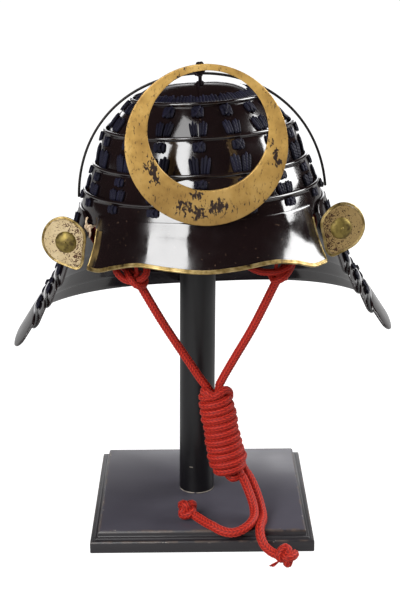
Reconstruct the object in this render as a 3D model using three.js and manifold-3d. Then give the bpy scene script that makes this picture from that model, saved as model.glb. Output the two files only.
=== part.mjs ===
// A lacquered folding helmet with a gold crescent crest and a red chin cord, on its wooden display stand.
// Millimetres, +Z up, the front faces -Y, and the origin is under the middle of the stand's base.
import * as THREE from 'three';
import { mergeVertices } from 'three/addons/utils/BufferGeometryUtils.js';
import Module from 'manifold-3d';

const wasm = await Module();
wasm.setup();

// Driving dimensions: gaps and walls
const GAP = 0.35;
const WALL = 1.6;
const LAME_WALL = 1.8;
const LACE_THICK = 3.2;
const BRAID_GAP = 0.4;   // between the lacing and the face it lies on
const LACED_STEP = 3.7;          // from one shell's outside to the outside of the shell laced over it
const TUCK = 1.1;                // how much further in a bowl shell's foot is than that

// The helmet sits on its post a little askew: it leans back and down to the viewer's left.
const HELMET = { x: 2.5, z: 330, tilt: 2, roll: 2.2 };

// The bowl: an oval crown plate and four rings that telescope, each with a raised lip.
const BOWL_DEPTH = 1.09;         // length over width
const ROUND_STEPS = 40;
const LACE_GROUPS = 16;
const CROWN = { top: 111, rise: 17.6, power: 3 };
const RINGS = [
  { lip: 64.2, top: 96 },
  { lip: 91.5, top: 69 },
  { lip: 103.5, top: 37 },
  { lip: 114.5, top: 12.6 },
];
const BOWL_FOOT = { radius: 118, z: -12 };
const CROWN_BRAID = [            // outline of the low, unbroken row of laces round the crown plate
  { radius: 59.8, z: 92.5 }, { radius: 60.9, z: 92.5 }, { radius: 60.9, z: 97.6 }, { radius: 59.4, z: 100 },
  { radius: 50, z: 105.6 }, { radius: 47, z: 102.6 }, { radius: 51.2, z: 100.5 }, { radius: 59.9, z: 94 },
];
const BRAID = [                  // height and half width of the lace groups above each later lip
  { height: 15, half: 8.5 },
  { height: 19.5, half: 9.5 },
  { height: 11.5, half: 9.5 },
];

// The peak over the brow
const VISOR = { wall: 1.8, top: -1.5, side: 134.5, front: 140.5, rim: 3.1 };
const VISOR_EDGE = [             // angle from the front, height of the rim's lower edge
  { angle: -54.5, z: -51 }, { angle: -47, z: -50.5 }, { angle: -38, z: -45 }, { angle: -27, z: -40 },
  { angle: -13, z: -43 }, { angle: 0, z: -46 }, { angle: 13, z: -45 }, { angle: 27, z: -43 },
  { angle: 38, z: -47.5 }, { angle: 49, z: -55.5 }, { angle: 58.5, z: -56 },
];

// The neck guard: five lames, each laced over the one above; angles run from the front round the back.
const LAMES = [
  { top: -2, bottom: -50, side: 132, back: 138, from: 63.5, to: 297 },
  { top: -43, bottom: -77, side: 144, back: 146, from: 67, to: 293 },
  { top: -68, bottom: -95, side: 155.5, back: 153.5, from: 67, to: 293 },
  { top: -85.5, bottom: -114, side: 168, back: 161, from: 67, to: 293 },
  { top: -99, bottom: -130, side: 185, back: 171, from: 67, to: 293 },
];
const FIRST_LAME = { side: 118.8, back: 129.3 };
const HANG = { from: -12, lean: 0.045 };   // the lames hang plumb from the leaning bowl
const SQUARE = { from: -2, to: -130, swell: 0.1 };   // the lower lames run squarer in plan than the bowl
const CORNER = { angle: 9, low: 0.4, high: 0.2 };   // degrees and shares of height that a front corner rounds
const NECK_BRAID = { heights: [13, 13, 11, 8], half: 8.5, groups: 10 };

// The turned-back ends of the neck guard
const TURN_BACKS = [
  { name: 'left', x: -130.5, y: -66, z: -26.5, fold: 6.8 },
  { name: 'right', x: 131, y: -62, z: -26, fold: 3.3 },
];
const TURN = { yaw: 12, plate: 2, rim: 3.4, rimFront: -1.2, inner: 0.885, leather: 0.8 };
const FOLD = { thick: 2.4, tall: 14, in: 16.6 };
const BOSS = { radius: 10.3, dome: 3, in: 2.6 };
const TURN_OUTLINE = [           // outward from the middle, up
  { u: 20.9, v: 0.9 }, { u: 17.8, v: 12.5 }, { u: 9.5, v: 21.2 }, { u: -2, v: 24 }, { u: -13.5, v: 18.8 },
  { u: -21.5, v: 8 }, { u: -19.8, v: -8 }, { u: -16.6, v: -22.5 }, { u: -11.8, v: -26.4 },
  { u: -1.5, v: -23.2 }, { u: 11.5, v: -17 }, { u: 18.6, v: -8 },
];

// The hoop over the bowl
const BAIL = { x: 0.5, z: -3, radius: 120, swell: 1.8, thick: 2.4, deep: 4.2, foot: 3 };
const RIVET = { radius: 2.6, z: 4.5 };

// The crescent, with its holder behind and its tie to the hoop
const CREST = { x: 6.3, z: 403, outer: 70.8, holeX: 7.7, holeZ: 416, hole: 52.3, back: -134, thick: 3.4 };
const HOLDER = { half: 8, bottom: 334.2, top: 343, lean: 1.4, drop: 4.4 };
const TIE = { diameter: 3 };

// The stand
const BASE = [                   // half width at each height
  { z: 0, half: 107.6 }, { z: 1.2, half: 108.5 }, { z: 10.6, half: 108.5 }, { z: 12, half: 107.4 },
  { z: 12.6, half: 103.8 }, { z: 15, half: 101.6 }, { z: 18.4, half: 100.6 }, { z: 20.1, half: 99.4 },
];
const POST = { x: -5, radius: 17.7, top: 404, lean: 0.0135 };   // the post leans a little to the viewer's right
const HEAD = { radius: 26, neck: 20, top: 438.3, drop: 4.4 };

// The chin cord: the loop is stretched thinner than the slack tails.
const LOOP_DIAMETER = 8.2;
const TAIL_DIAMETER = 8.8;
const KNOT = { topX: 12.2, topZ: 151.6, bottomX: 28, bottomZ: 63, y: -62, deep: 0.8 };
const KNOT_RADII = [             // along the knot from its top
  { s: 0, r: 12 }, { s: 0.04, r: 15.2 }, { s: 0.2, r: 18 }, { s: 0.5, r: 17.3 },
  { s: 0.84, r: 19.4 }, { s: 0.97, r: 17 }, { s: 1, r: 14 },
];
const END_KNOTS = [
  { name: 'left', x: -14.3, y: -75.3, z: 29.4, radius: 9.6 },
  { name: 'right', x: 80, y: -138, z: 10.2, radius: 10 },
];
const LOOP_ROUTE = [
  [6.3, -62.4, 153.4], [1, -63, 160.6], [-10.5, -65.4, 179.5], [-24.2, -69, 202.6], [-37.5, -72.6, 226],
  [-49.5, -76, 249], [-56, -77.8, 261.5], [-61, -78, 269.5], [-69, -74, 276.5], [-79, -66, 282.5],
  [-90, -52, 288], [-99, -32, 293], [-105, -8, 296], [-106, 18, 298], [-101, 45, 299.5],
  [-90, 69, 300.5], [-74, 88, 301.5], [-52, 103, 299], [-27, 112.5, 296.5], [0, 116, 296],
  [27, 113.5, 297.5], [53, 105, 300.5], [77, 90, 304.5], [94, 71, 304.5], [105.5, 46, 304],
  [111, 18, 303], [110.5, -8, 301.5], [105.5, -31, 298.5], [97.5, -50, 293.5], [88, -65, 286.5],
  [79.5, -75, 278], [74.3, -78.4, 270], [69, -77, 259], [61, -74.5, 241], [48.5, -70.3, 214],
  [34, -66.5, 187], [24.5, -63.8, 169], [18, -62.3, 156],
];
const TAIL_ROUTES = {
  left: [
    [39.5, -65.6, 61.6], [42.6, -67, 55.5], [45.2, -69, 49.4], [49, -74.5, 40.5], [51.2, -81.5, 33.5],
    [51.1, -89.5, 29.3], [48.6, -97, 27.3], [44, -103.2, 25.2], [37.5, -107.4, 22.8], [30.5, -108.9, 21.2],
    [23.8, -108.2, 21.2], [17.2, -105.8, 22.5], [10.5, -101.2, 24.4], [4, -95, 25.2], [-2.5, -87.5, 26.2],
    [-6.9, -82.9, 27.3],
  ],
  right: [
    [44.2, -58.4, 62.4], [47.8, -59.4, 56.5], [51.2, -61, 49.8], [55.6, -66, 39], [58.4, -73, 30.6],
    [59.6, -81.5, 25.8], [59, -90.5, 25], [57.2, -98.5, 24.9], [55.9, -105.5, 22.6], [56.6, -111.8, 17.4],
    [59.6, -117.5, 12], [64.4, -122.8, 8.8], [69, -127, 7.8], [72.9, -130.7, 8.4],
  ],
};
// Each anchor is a ring that the cord runs through, on a short strap from inside the lowest bowl ring.
const ANCHOR = { ring: 6.9, wire: 1.6, strap: 2.6, inset: 1.1 };
const ANCHORS = [                // index along the loop's route, angle of its strap from the front
  { name: 'front_left', stop: 7, angle: -40 },
  { name: 'front_right', stop: 31, angle: 42 },
  { name: 'back_left', stop: 16, angle: -139 },
  { name: 'back_right', stop: 22, angle: 137 },
];

// Finishes
const LACQUER = { color: 0x1c1214, roughness: 0.18, metalness: 0 };
const BRAID_SILK = { color: 0x20203a, roughness: 0.85, metalness: 0 };
const GILT = { color: 0xb9a05a, roughness: 0.4, metalness: 0.8 };
const GOLD = { color: 0xc8a050, roughness: 0.45, metalness: 0.7 };
const LEATHER = { color: 0xcbb58a, roughness: 0.8, metalness: 0 };
const OLD_BRASS = { color: 0xa79a4a, roughness: 0.5, metalness: 0.7 };
const RED_SILK = { color: 0xc22a20, roughness: 0.85, metalness: 0 };
const TIE_SILK = { color: 0x2c1820, roughness: 0.85, metalness: 0 };
const BLACK_IRON = { color: 0x151315, roughness: 0.4, metalness: 0.5 };
const STAND_PAINT = { color: 0x2c2b30, roughness: 0.5, metalness: 0 };

const rad = THREE.MathUtils.degToRad;
const object = new THREE.Group();
const helmet = new THREE.Group();
helmet.position.set(HELMET.x, 0, HELMET.z);
helmet.rotation.set(rad(-HELMET.tilt), rad(-HELMET.roll), 0, 'YXZ');
object.add(helmet);
object.updateMatrixWorld(true);

function add(parent, name, geometry, finish) {
  const mesh = new THREE.Mesh(geometry, new THREE.MeshStandardMaterial(finish));
  mesh.name = name;
  parent.add(mesh);
  return mesh;
}

// Keeps the positions only, joins the shared corners and turns an inside-out shape the right way.
function tidy(geometry) {
  const bare = geometry.clone();
  bare.deleteAttribute('normal');
  bare.deleteAttribute('uv');
  const merged = mergeVertices(bare, 1e-4);
  const index = Array.from(merged.index.array);
  const place = merged.attributes.position;
  const [a, b, c] = [new THREE.Vector3(), new THREE.Vector3(), new THREE.Vector3()];
  let volume = 0;
  for (let i = 0; i < index.length; i += 3) {
    a.fromBufferAttribute(place, index[i]);
    b.fromBufferAttribute(place, index[i + 1]);
    c.fromBufferAttribute(place, index[i + 2]);
    volume += a.dot(b.cross(c));
  }
  if (volume < 0) {
    for (let i = 0; i < index.length; i += 3) {
      [index[i + 1], index[i + 2]] = [index[i + 2], index[i + 1]];
    }
  }
  merged.setIndex(index);
  return merged;
}

function toSolid(geometry) {
  const merged = tidy(geometry);
  return new wasm.Manifold(new wasm.Mesh({
    numProp: 3,
    vertProperties: new Float32Array(merged.attributes.position.array),
    triVerts: new Uint32Array(merged.index.array),
  }));
}

function joined(geometries) {
  const mesh = geometries.map(toSolid).reduce((whole, next) => whole.add(next)).getMesh();
  const geometry = new THREE.BufferGeometry();
  geometry.setAttribute('position', new THREE.BufferAttribute(new Float32Array(mesh.vertProperties), 3));
  geometry.setIndex(new THREE.BufferAttribute(new Uint32Array(mesh.triVerts), 1));
  return geometry;
}

// Skins a row of cross-sections, each the same number of points, and closes both ends or the circle.
function loft(sections, isRound) {
  const count = sections[0].length;
  const rows = sections.length;
  const place = sections.flat().flatMap((p) => [p.x, p.y, p.z]);
  const index = [];
  const spans = isRound ? rows : rows - 1;
  for (let i = 0; i < spans; i++) {
    const near = i * count;
    const far = ((i + 1) % rows) * count;
    for (let j = 0; j < count; j++) {
      const next = (j + 1) % count;
      index.push(near + j, far + j, far + next, near + j, far + next, near + next);
    }
  }
  if (!isRound) {
    const last = (rows - 1) * count;
    for (let j = 1; j < count - 1; j++) {
      index.push(0, j, j + 1, last, last + j + 1, last + j);
    }
  }
  const geometry = new THREE.BufferGeometry();
  geometry.setAttribute('position', new THREE.Float32BufferAttribute(place, 3));
  geometry.setIndex(index);
  return tidy(geometry);
}

// A point on an oval of half width a and half length b, at an angle from the front.
function ovalPoint(angle, { a, b, z }) {
  return new THREE.Vector3(a * Math.sin(rad(angle)), -b * Math.cos(rad(angle)), z);
}

function ovalBand(angles, rowsAt, isRound) {
  return loft(angles.map((angle) => rowsAt(angle).map((row) => ovalPoint(angle, row))), isRound);
}

// Squares the neck guard's plan towards its foot, and shifts it sideways so that it hangs plumb.
function hung(geometry) {
  const place = geometry.attributes.position;
  for (let i = 0; i < place.count; i++) {
    const [x, y, z] = [place.getX(i), place.getY(i), place.getZ(i)];
    const down = Math.min(Math.max((SQUARE.from - z) / (SQUARE.from - SQUARE.to), 0), 1);
    const grow = 1 + SQUARE.swell * down * Math.sin(2 * Math.atan2(x, y)) ** 2;
    place.setXYZ(i, x * grow + HANG.lean * Math.min(z - HANG.from, 0), y * grow, z);
  }
  return geometry;
}

function steps(from, to, count) {
  return Array.from({ length: count + 1 }, (_, i) => from + (to - from) * i / count);
}

const ROUND = steps(0, 360, ROUND_STEPS).slice(0, -1);

// The oval that a shell's outside has at a height, grown by some millimetres.
function surfaceAt(shell, z, grow = 0) {
  let i = 1;
  while (i < shell.length - 1 && z < shell[i].z) i++;
  const share = (z - shell[i - 1].z) / (shell[i].z - shell[i - 1].z);
  const mix = (key) => shell[i - 1][key] + (shell[i][key] - shell[i - 1][key]) * share + grow;
  return { a: mix('a'), b: mix('b'), z };
}

const oval = (radius, z) => ({ a: radius, b: radius * BOWL_DEPTH, z });

// Crown plate
const crownFoot = RINGS[0].lip - LACED_STEP - TUCK;
const crownHeight = (radius) => CROWN.top - CROWN.rise * (radius / crownFoot) ** CROWN.power;
const CROWN_RADII = [0, 24, 40, 51, crownFoot];

function crownPlate() {
  const outer = CROWN_RADII.map((radius) => new THREE.Vector2(radius, crownHeight(radius)));
  const inner = outer.map((p) => new THREE.Vector2(Math.max(p.x - WALL * p.x / crownFoot, 0), p.y - WALL));
  const profile = [...outer, ...inner.reverse()];
  const geometry = new THREE.LatheGeometry(profile, ROUND_STEPS);
  geometry.rotateX(Math.PI / 2);
  geometry.scale(1, BOWL_DEPTH, 1);
  return tidy(geometry);
}
add(helmet, 'crown_plate', crownPlate(), LACQUER);

// Bowl rings
const LIP = { proud: 1.2, rise: 2.2, under: 2.4 };
const ringShells = RINGS.map((ring, i) => {
  const next = RINGS[i + 1];
  const foot = next ? { radius: next.lip - LACED_STEP - TUCK, z: next.top - 3 } : BOWL_FOOT;
  return [oval(ring.lip - LIP.proud, ring.top - LIP.under), oval(foot.radius, foot.z)];
});

RINGS.forEach((ring, i) => {
  const [start, foot] = ringShells[i];
  const rows = [
    oval(ring.lip - LIP.proud - WALL, ring.top + LIP.rise - 0.6),
    oval(ring.lip - LIP.proud, ring.top + LIP.rise),
    oval(ring.lip, ring.top - 0.2),
    start,
    foot,
    oval(foot.a - WALL, foot.z),
    oval(start.a - WALL, start.z),
  ];
  add(helmet, `bowl_ring_${i + 1}`, ovalBand(ROUND, () => rows, true), LACQUER);
});

const STRIP = { below: 2.6, above: 3.6, thick: 1.3 };

// A row of silk braid: a flat strip behind the lip, and a group of laces at every hole pair above it.
function braidRow(shell, lip, angles, isRound, centres, braid) {
  const inner = BRAID_GAP;
  const strip = ovalBand(angles, () => [
    surfaceAt(shell, lip - STRIP.below, inner), surfaceAt(shell, lip - STRIP.below, inner + STRIP.thick),
    surfaceAt(shell, lip + STRIP.above, inner + STRIP.thick), surfaceAt(shell, lip + STRIP.above, inner),
  ], isRound);
  const groups = centres.map((centre) => {
    const low = lip + LIP.rise + GAP;
    const high = low + braid.height;
    const spread = THREE.MathUtils.radToDeg(braid.half / surfaceAt(shell, low).a);
    const chord = surfaceAt(shell, low).a * (1 - Math.cos(rad(spread)));
    return ovalBand([centre - spread, centre + spread], () => [
      surfaceAt(shell, low, inner + chord),
      surfaceAt(shell, low, inner + chord + LACE_THICK),
      surfaceAt(shell, high, inner + chord + LACE_THICK),
      surfaceAt(shell, high, inner + chord),
    ], false);
  });
  return joined([strip, ...groups]);
}

const bowlCentres = steps(0, 360, LACE_GROUPS).slice(0, -1);
const crownBraid = ovalBand(ROUND, () => CROWN_BRAID.map(({ radius, z }) => oval(radius, z)), true);
add(helmet, 'crown_braid', crownBraid, BRAID_SILK);
RINGS.slice(1).forEach((ring, i) => {
  const row = braidRow(ringShells[i], ring.top, ROUND, true, bowlCentres, BRAID[i]);
  add(helmet, `bowl_braid_${i + 1}`, row, BRAID_SILK);
});

// Visor and its gilt rim
const visorCurve = new THREE.CatmullRomCurve3(VISOR_EDGE.map((p) => new THREE.Vector3(p.angle, p.z, 0)));
const visorPoints = visorCurve.getPoints(24);
const visorAngles = visorPoints.map((p) => p.x);
const visorEdge = new Map(visorPoints.map((p) => [p.x, p.y]));
const bowlFoot = oval(BOWL_FOOT.radius, BOWL_FOOT.z);
const visorTop = surfaceAt(ringShells[3], VISOR.top, GAP);
const grown = (row, grow) => ({ a: row.a + grow, b: row.b + grow, z: row.z });
const visorFoot = (z) => ({ a: VISOR.side, b: VISOR.front, z });

function visorRows(angle) {
  const foot = visorFoot(visorEdge.get(angle) + VISOR.rim + GAP);
  return [
    visorTop, grown(visorTop, VISOR.wall),
    grown(bowlFoot, GAP + VISOR.wall), foot,
    grown(foot, -VISOR.wall), grown(bowlFoot, GAP),
  ];
}
add(helmet, 'visor_plate', ovalBand(visorAngles, visorRows, false), LACQUER);

function visorRimRows(angle) {
  const low = visorEdge.get(angle);
  return [
    grown(visorFoot(low + VISOR.rim), -2.4), grown(visorFoot(low + VISOR.rim), 0.6),
    grown(visorFoot(low + 0.6), 1.2), grown(visorFoot(low), -0.4), grown(visorFoot(low + 0.6), -2),
  ];
}
add(helmet, 'visor_rim', ovalBand(visorAngles, visorRimRows, false), GILT);

// Neck guard lames, each set outside the one above
const lameShells = [];
LAMES.forEach((lame, i) => {
  const above = lameShells[i - 1];
  const top = above
    ? surfaceAt(above, lame.top, LACED_STEP)
    : { a: FIRST_LAME.side, b: FIRST_LAME.back, z: lame.top };
  lameShells.push([top, { a: lame.side, b: lame.back, z: lame.bottom }]);
});

function lameRows(lame, shell) {
  return (angle) => {
    const inset = Math.min(angle - lame.from, lame.to - angle, CORNER.angle) / CORNER.angle;
    const round = 1 - Math.sqrt(1 - (1 - inset) ** 2);
    const height = lame.top - lame.bottom;
    const low = lame.bottom + CORNER.low * height * round;
    const high = lame.top - CORNER.high * height * round;
    return [
      surfaceAt(shell, high), surfaceAt(shell, low),
      surfaceAt(shell, low, -LAME_WALL), surfaceAt(shell, high, -LAME_WALL),
    ];
  };
}

// Angles of a part circle: close together in its rounded corners, and on the bowl's own steps between.
function guardAngles(from, to) {
  const between = ROUND.filter((angle) => angle > from + 6 && angle < to - 6);
  return [from, from + 2, from + 5, ...between, to - 5, to - 2, to];
}

LAMES.forEach((lame, i) => {
  const shape = ovalBand(guardAngles(lame.from, lame.to), lameRows(lame, lameShells[i]), false);
  add(helmet, `neck_lame_${i + 1}`, hung(shape), LACQUER);
});

const neckCentres = steps(1, NECK_BRAID.groups, NECK_BRAID.groups - 1)
  .map((i) => 180 + (i - (NECK_BRAID.groups + 1) / 2) * 360 / LACE_GROUPS);
LAMES.slice(1).forEach((lame, i) => {
  const angles = ROUND.filter((angle) => angle > lame.from + 3 && angle < lame.to - 3);
  const blocks = { height: NECK_BRAID.heights[i], half: NECK_BRAID.half };
  const row = braidRow(lameShells[i], lame.top - LIP.rise, angles, false, neckCentres, blocks);
  add(helmet, `neck_braid_${i + 1}`, hung(row), BRAID_SILK);
});

// Turn-backs: plate with its fold to the first lame, printed leather, gilt rim and a domed boss
function turnOutline(side, share) {
  const points = TURN_OUTLINE.map((p) => new THREE.Vector2(side * p.u * share, p.v * share));
  const outline = new THREE.SplineCurve([...points, points[0]]).getPoints(24).slice(0, -1);
  return side < 0 ? outline.reverse() : outline;
}

function turnSheet(outline, holes, depth, front) {
  const shape = new THREE.Shape(outline);
  shape.holes = holes.map((hole) => new THREE.Path(hole));
  const geometry = new THREE.ExtrudeGeometry(shape, { depth, bevelEnabled: false });
  geometry.rotateX(Math.PI / 2);
  geometry.translate(0, front + depth, 0);
  return geometry;
}

for (const place of TURN_BACKS) {
  const side = Math.sign(place.x);
  const group = new THREE.Group();
  group.position.set(place.x, place.y, place.z);
  group.rotation.z = side * rad(TURN.yaw);
  helmet.add(group);
  const fold = new THREE.BoxGeometry(FOLD.thick, place.fold, FOLD.tall);
  fold.translate(-side * FOLD.in, 0.8 + place.fold / 2, 1);
  const plate = turnSheet(turnOutline(side, TURN.inner), [], TURN.plate, 0);
  add(group, `turn_back_plate_${place.name}`, joined([plate, fold]), LACQUER);
  const rim = turnSheet(turnOutline(side, 1), [turnOutline(side, TURN.inner + 0.02)], TURN.rim, TURN.rimFront);
  add(group, `turn_back_rim_${place.name}`, tidy(rim), GILT);
  const leather = turnSheet(turnOutline(side, TURN.inner), [], TURN.leather, -TURN.leather - GAP);
  add(group, `turn_back_leather_${place.name}`, tidy(leather), LEATHER);
  const arc = steps(0, 90, 3).map((angle) => new THREE.Vector2(
    BOSS.radius * Math.sin(rad(angle)), BOSS.dome * Math.cos(rad(angle))));
  const boss = new THREE.LatheGeometry([...arc, new THREE.Vector2(0, 0)], 16);
  boss.rotateX(Math.PI);
  boss.translate(-side * BOSS.in, -TURN.leather - 2 * GAP, 0);
  add(group, `turn_back_boss_${place.name}`, tidy(boss), OLD_BRASS);
}

// The hoop: a flat iron strip bent over the bowl from side to side, riveted at both feet
function bail() {
  const arc = steps(BAIL.foot, 180 - BAIL.foot, 36);
  return loft(arc.map((angle) => {
    const radius = BAIL.radius + BAIL.swell * Math.sin(2 * rad(angle)) ** 2;
    const at = (grow, y) => new THREE.Vector3(
      BAIL.x + (radius + grow) * Math.cos(rad(angle)), y, BAIL.z + (radius + grow) * Math.sin(rad(angle)));
    const [thick, deep] = [BAIL.thick / 2, BAIL.deep / 2];
    return [at(-thick, -deep), at(thick, -deep), at(thick, deep), at(-thick, deep)];
  }), false);
}
add(helmet, 'bail', bail(), BLACK_IRON);
for (const [name, side] of [['left', -1], ['right', 1]]) {
  const wall = surfaceAt(ringShells[3], RIVET.z, GAP).a + 0.3;
  const strip = BAIL.radius - BAIL.thick / 2 + side * BAIL.x - 2 * GAP;
  const rivet = new THREE.CylinderGeometry(RIVET.radius, RIVET.radius, strip - wall, 12);
  rivet.rotateZ(Math.PI / 2);
  rivet.translate(side * (strip + wall) / 2, 0, RIVET.z);
  add(helmet, `bail_rivet_${name}`, tidy(rivet), BLACK_IRON);
}

// Crescent, holder and tie
function crescent() {
  const shape = new THREE.Shape().absarc(CREST.x, CREST.z, CREST.outer, 0, 2 * Math.PI);
  shape.holes = [new THREE.Path().absarc(CREST.holeX, CREST.holeZ, CREST.hole, 0, 2 * Math.PI)];
  const geometry = new THREE.ExtrudeGeometry(shape, {
    depth: CREST.thick, bevelEnabled: false, curveSegments: 30,
  });
  geometry.rotateX(Math.PI / 2);
  geometry.translate(0, CREST.back, 0);
  return tidy(geometry);
}
add(object, 'crest', crescent(), GOLD);

function crestHolder() {
  const front = CREST.back + GAP;
  const wallAt = (z) => {
    const wall = surfaceAt(ringShells[3], z - HELMET.z - HOLDER.drop, GAP + 0.2);
    return helmet.localToWorld(new THREE.Vector3(0, -wall.b, wall.z)).y;
  };
  const outline = [
    new THREE.Vector2(front, HOLDER.bottom), new THREE.Vector2(wallAt(HOLDER.bottom), HOLDER.bottom),
    new THREE.Vector2(wallAt(HOLDER.top) - HOLDER.lean, HOLDER.top), new THREE.Vector2(front, HOLDER.top),
  ];
  const geometry = new THREE.ExtrudeGeometry(new THREE.Shape(outline), {
    depth: 2 * HOLDER.half, bevelEnabled: false,
  });
  geometry.rotateY(Math.PI / 2);
  geometry.rotateX(Math.PI / 2);
  geometry.translate(CREST.x - HOLDER.half, 0, 0);
  return tidy(geometry);
}
add(object, 'crest_holder', crestHolder(), BLACK_IRON);

function tube(points, diameter, sides, count) {
  const path = new THREE.CatmullRomCurve3(points.map((p) => new THREE.Vector3(...p)), false, 'centripetal');
  const section = new THREE.Shape(steps(0, 360, sides).slice(0, -1).map((angle) => new THREE.Vector2(
    diameter / 2 * Math.cos(rad(angle)), diameter / 2 * Math.sin(rad(angle)))));
  return tidy(new THREE.ExtrudeGeometry(section, { extrudePath: path, steps: count }));
}

const crestTip = CREST.z + CREST.outer;
const crestFront = CREST.back - CREST.thick;
const tieRadius = TIE.diameter / 2;
const bailTop = helmet.localToWorld(new THREE.Vector3(BAIL.x, 0, BAIL.z + BAIL.radius + BAIL.thick / 2));
const tieRoute = [
  [3, crestFront - tieRadius - GAP, crestTip - 7], [3, crestFront - tieRadius - GAP, crestTip - 0.5],
  [3, crestFront, crestTip + tieRadius + 1.6], [3, CREST.back, crestTip + tieRadius + 1.6],
  [3, CREST.back + 5, crestTip - 1], [2, -90, 460], [0, -45, 452],
  [bailTop.x, bailTop.y - 2, bailTop.z + tieRadius + 0.5], [bailTop.x, bailTop.y + 8, bailTop.z + 0.5],
];
add(object, 'crest_tie', tube(tieRoute, TIE.diameter, 6, 24), TIE_SILK);

// Stand: moulded square base, turned post and the pad that carries the bowl
function standBase() {
  const corners = [[-1, -1], [1, -1], [1, 1], [-1, 1]];
  const squareAt = ({ z, half }) => corners.map(([x, y]) => new THREE.Vector3(x * half, y * half, z));
  return loft(BASE.map(squareAt), false);
}
add(object, 'stand_base', standBase(), STAND_PAINT);

function turned(profile, segments) {
  const geometry = new THREE.LatheGeometry(profile.map(([r, z]) => new THREE.Vector2(r, z)), segments);
  geometry.rotateX(Math.PI / 2);
  geometry.translate(POST.x, 0, 0);
  return tidy(geometry);
}
const baseTop = BASE[BASE.length - 1].z;
const postFoot = baseTop + GAP;
const post = turned(
  [[0, postFoot], [POST.radius, postFoot], [POST.radius, POST.top], [0, POST.top]], 32);
const postPlace = post.attributes.position;
for (let i = 0; i < postPlace.count; i++) {
  postPlace.setX(i, postPlace.getX(i) + POST.lean * (postPlace.getZ(i) - postFoot));
}
add(object, 'stand_post', post, STAND_PAINT);
const headFoot = POST.top + GAP;
const head = turned([
  [0, headFoot], [HEAD.neck, headFoot], [HEAD.neck, HEAD.top - 12], [HEAD.radius, HEAD.top - 8],
  [HEAD.radius, HEAD.top - HEAD.drop], [HEAD.radius * 0.6, HEAD.top - HEAD.drop * 0.36], [0, HEAD.top],
], 24);
head.translate(POST.lean * (POST.top - postFoot), 0, 0);
add(object, 'post_head', head, STAND_PAINT);

// Chin cord: one loop from the knot up, round inside the bowl and back down, and two tails
add(object, 'chin_cord_loop', tube(LOOP_ROUTE, LOOP_DIAMETER, 8, 50), RED_SILK);
for (const [name, route] of Object.entries(TAIL_ROUTES)) {
  add(object, `chin_cord_tail_${name}`, tube(route, TAIL_DIAMETER, 8, 16), RED_SILK);
}

function chinKnot() {
  const top = new THREE.Vector3(KNOT.topX, KNOT.y, KNOT.topZ);
  const bottom = new THREE.Vector3(KNOT.bottomX, KNOT.y, KNOT.bottomZ);
  const length = top.distanceTo(bottom);
  const profile = [new THREE.Vector2(0, 0), ...KNOT_RADII.map(({ s, r }) => new THREE.Vector2(r, -s * length)),
    new THREE.Vector2(0, -length)];
  const geometry = new THREE.LatheGeometry(profile, 16);
  geometry.rotateX(Math.PI / 2);
  geometry.scale(1, KNOT.deep, 1);
  geometry.rotateY(-Math.atan2(bottom.x - top.x, top.z - bottom.z));
  geometry.translate(top.x, top.y, top.z);
  return tidy(geometry);
}
add(object, 'chin_knot', chinKnot(), RED_SILK);

for (const { name, x, y, z, radius } of END_KNOTS) {
  const ball = new THREE.SphereGeometry(radius, 12, 8);
  ball.scale(1, 1, 0.92);
  ball.translate(x, y, z);
  add(object, `end_knot_${name}`, tidy(ball), RED_SILK);
}

for (const { name, stop, angle } of ANCHORS) {
  const [before, at, after] = [-1, 0, 1].map((step) => new THREE.Vector3(...LOOP_ROUTE[stop + step]));
  const along = after.sub(before).normalize();
  const wall = oval(BOWL_FOOT.radius - WALL, BOWL_FOOT.z + 3);
  const seat = helmet.localToWorld(ovalPoint(angle, grown(wall, -ANCHOR.strap / 2 - ANCHOR.inset)));
  const up = seat.clone().sub(at);
  up.addScaledVector(along, -up.dot(along)).normalize();
  const ring = new THREE.TorusGeometry(ANCHOR.ring, ANCHOR.wire, 5, 12);
  ring.applyMatrix4(new THREE.Matrix4().makeBasis(up, along.clone().cross(up), along));
  ring.translate(at.x, at.y, at.z);
  const start = at.clone().addScaledVector(up, ANCHOR.ring);
  const bend = start.clone().lerp(seat, 0.5).addScaledVector(up, 2);
  const strap = tube([start.toArray(), bend.toArray(), seat.toArray()], ANCHOR.strap, 6, 4);
  add(object, `cord_anchor_${name}`, joined([ring, strap]), RED_SILK);
}

export default object;
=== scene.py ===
# A lacquered folding helmet of stacked rings laced with silk, with a gold crescent and a red chin cord,
# held up by a black wooden stand. The front faces -Y and the sizes are worked in millimetres.
import math

import bpy
import numpy as np
from mathutils import Matrix, Vector


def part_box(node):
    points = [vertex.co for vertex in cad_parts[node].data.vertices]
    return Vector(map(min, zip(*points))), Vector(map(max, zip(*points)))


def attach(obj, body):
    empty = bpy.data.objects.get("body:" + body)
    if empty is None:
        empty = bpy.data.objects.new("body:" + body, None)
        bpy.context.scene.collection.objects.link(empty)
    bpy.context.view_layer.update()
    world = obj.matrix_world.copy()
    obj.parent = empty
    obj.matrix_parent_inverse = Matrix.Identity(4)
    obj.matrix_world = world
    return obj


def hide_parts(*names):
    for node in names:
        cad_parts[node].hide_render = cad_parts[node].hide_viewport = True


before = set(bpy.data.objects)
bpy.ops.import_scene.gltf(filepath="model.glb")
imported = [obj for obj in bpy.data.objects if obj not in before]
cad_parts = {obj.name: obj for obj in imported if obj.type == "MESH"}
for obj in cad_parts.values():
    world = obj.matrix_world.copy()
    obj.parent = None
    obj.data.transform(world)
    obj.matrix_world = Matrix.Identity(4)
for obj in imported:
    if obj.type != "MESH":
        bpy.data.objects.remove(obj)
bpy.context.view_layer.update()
MM = 0.001

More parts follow.
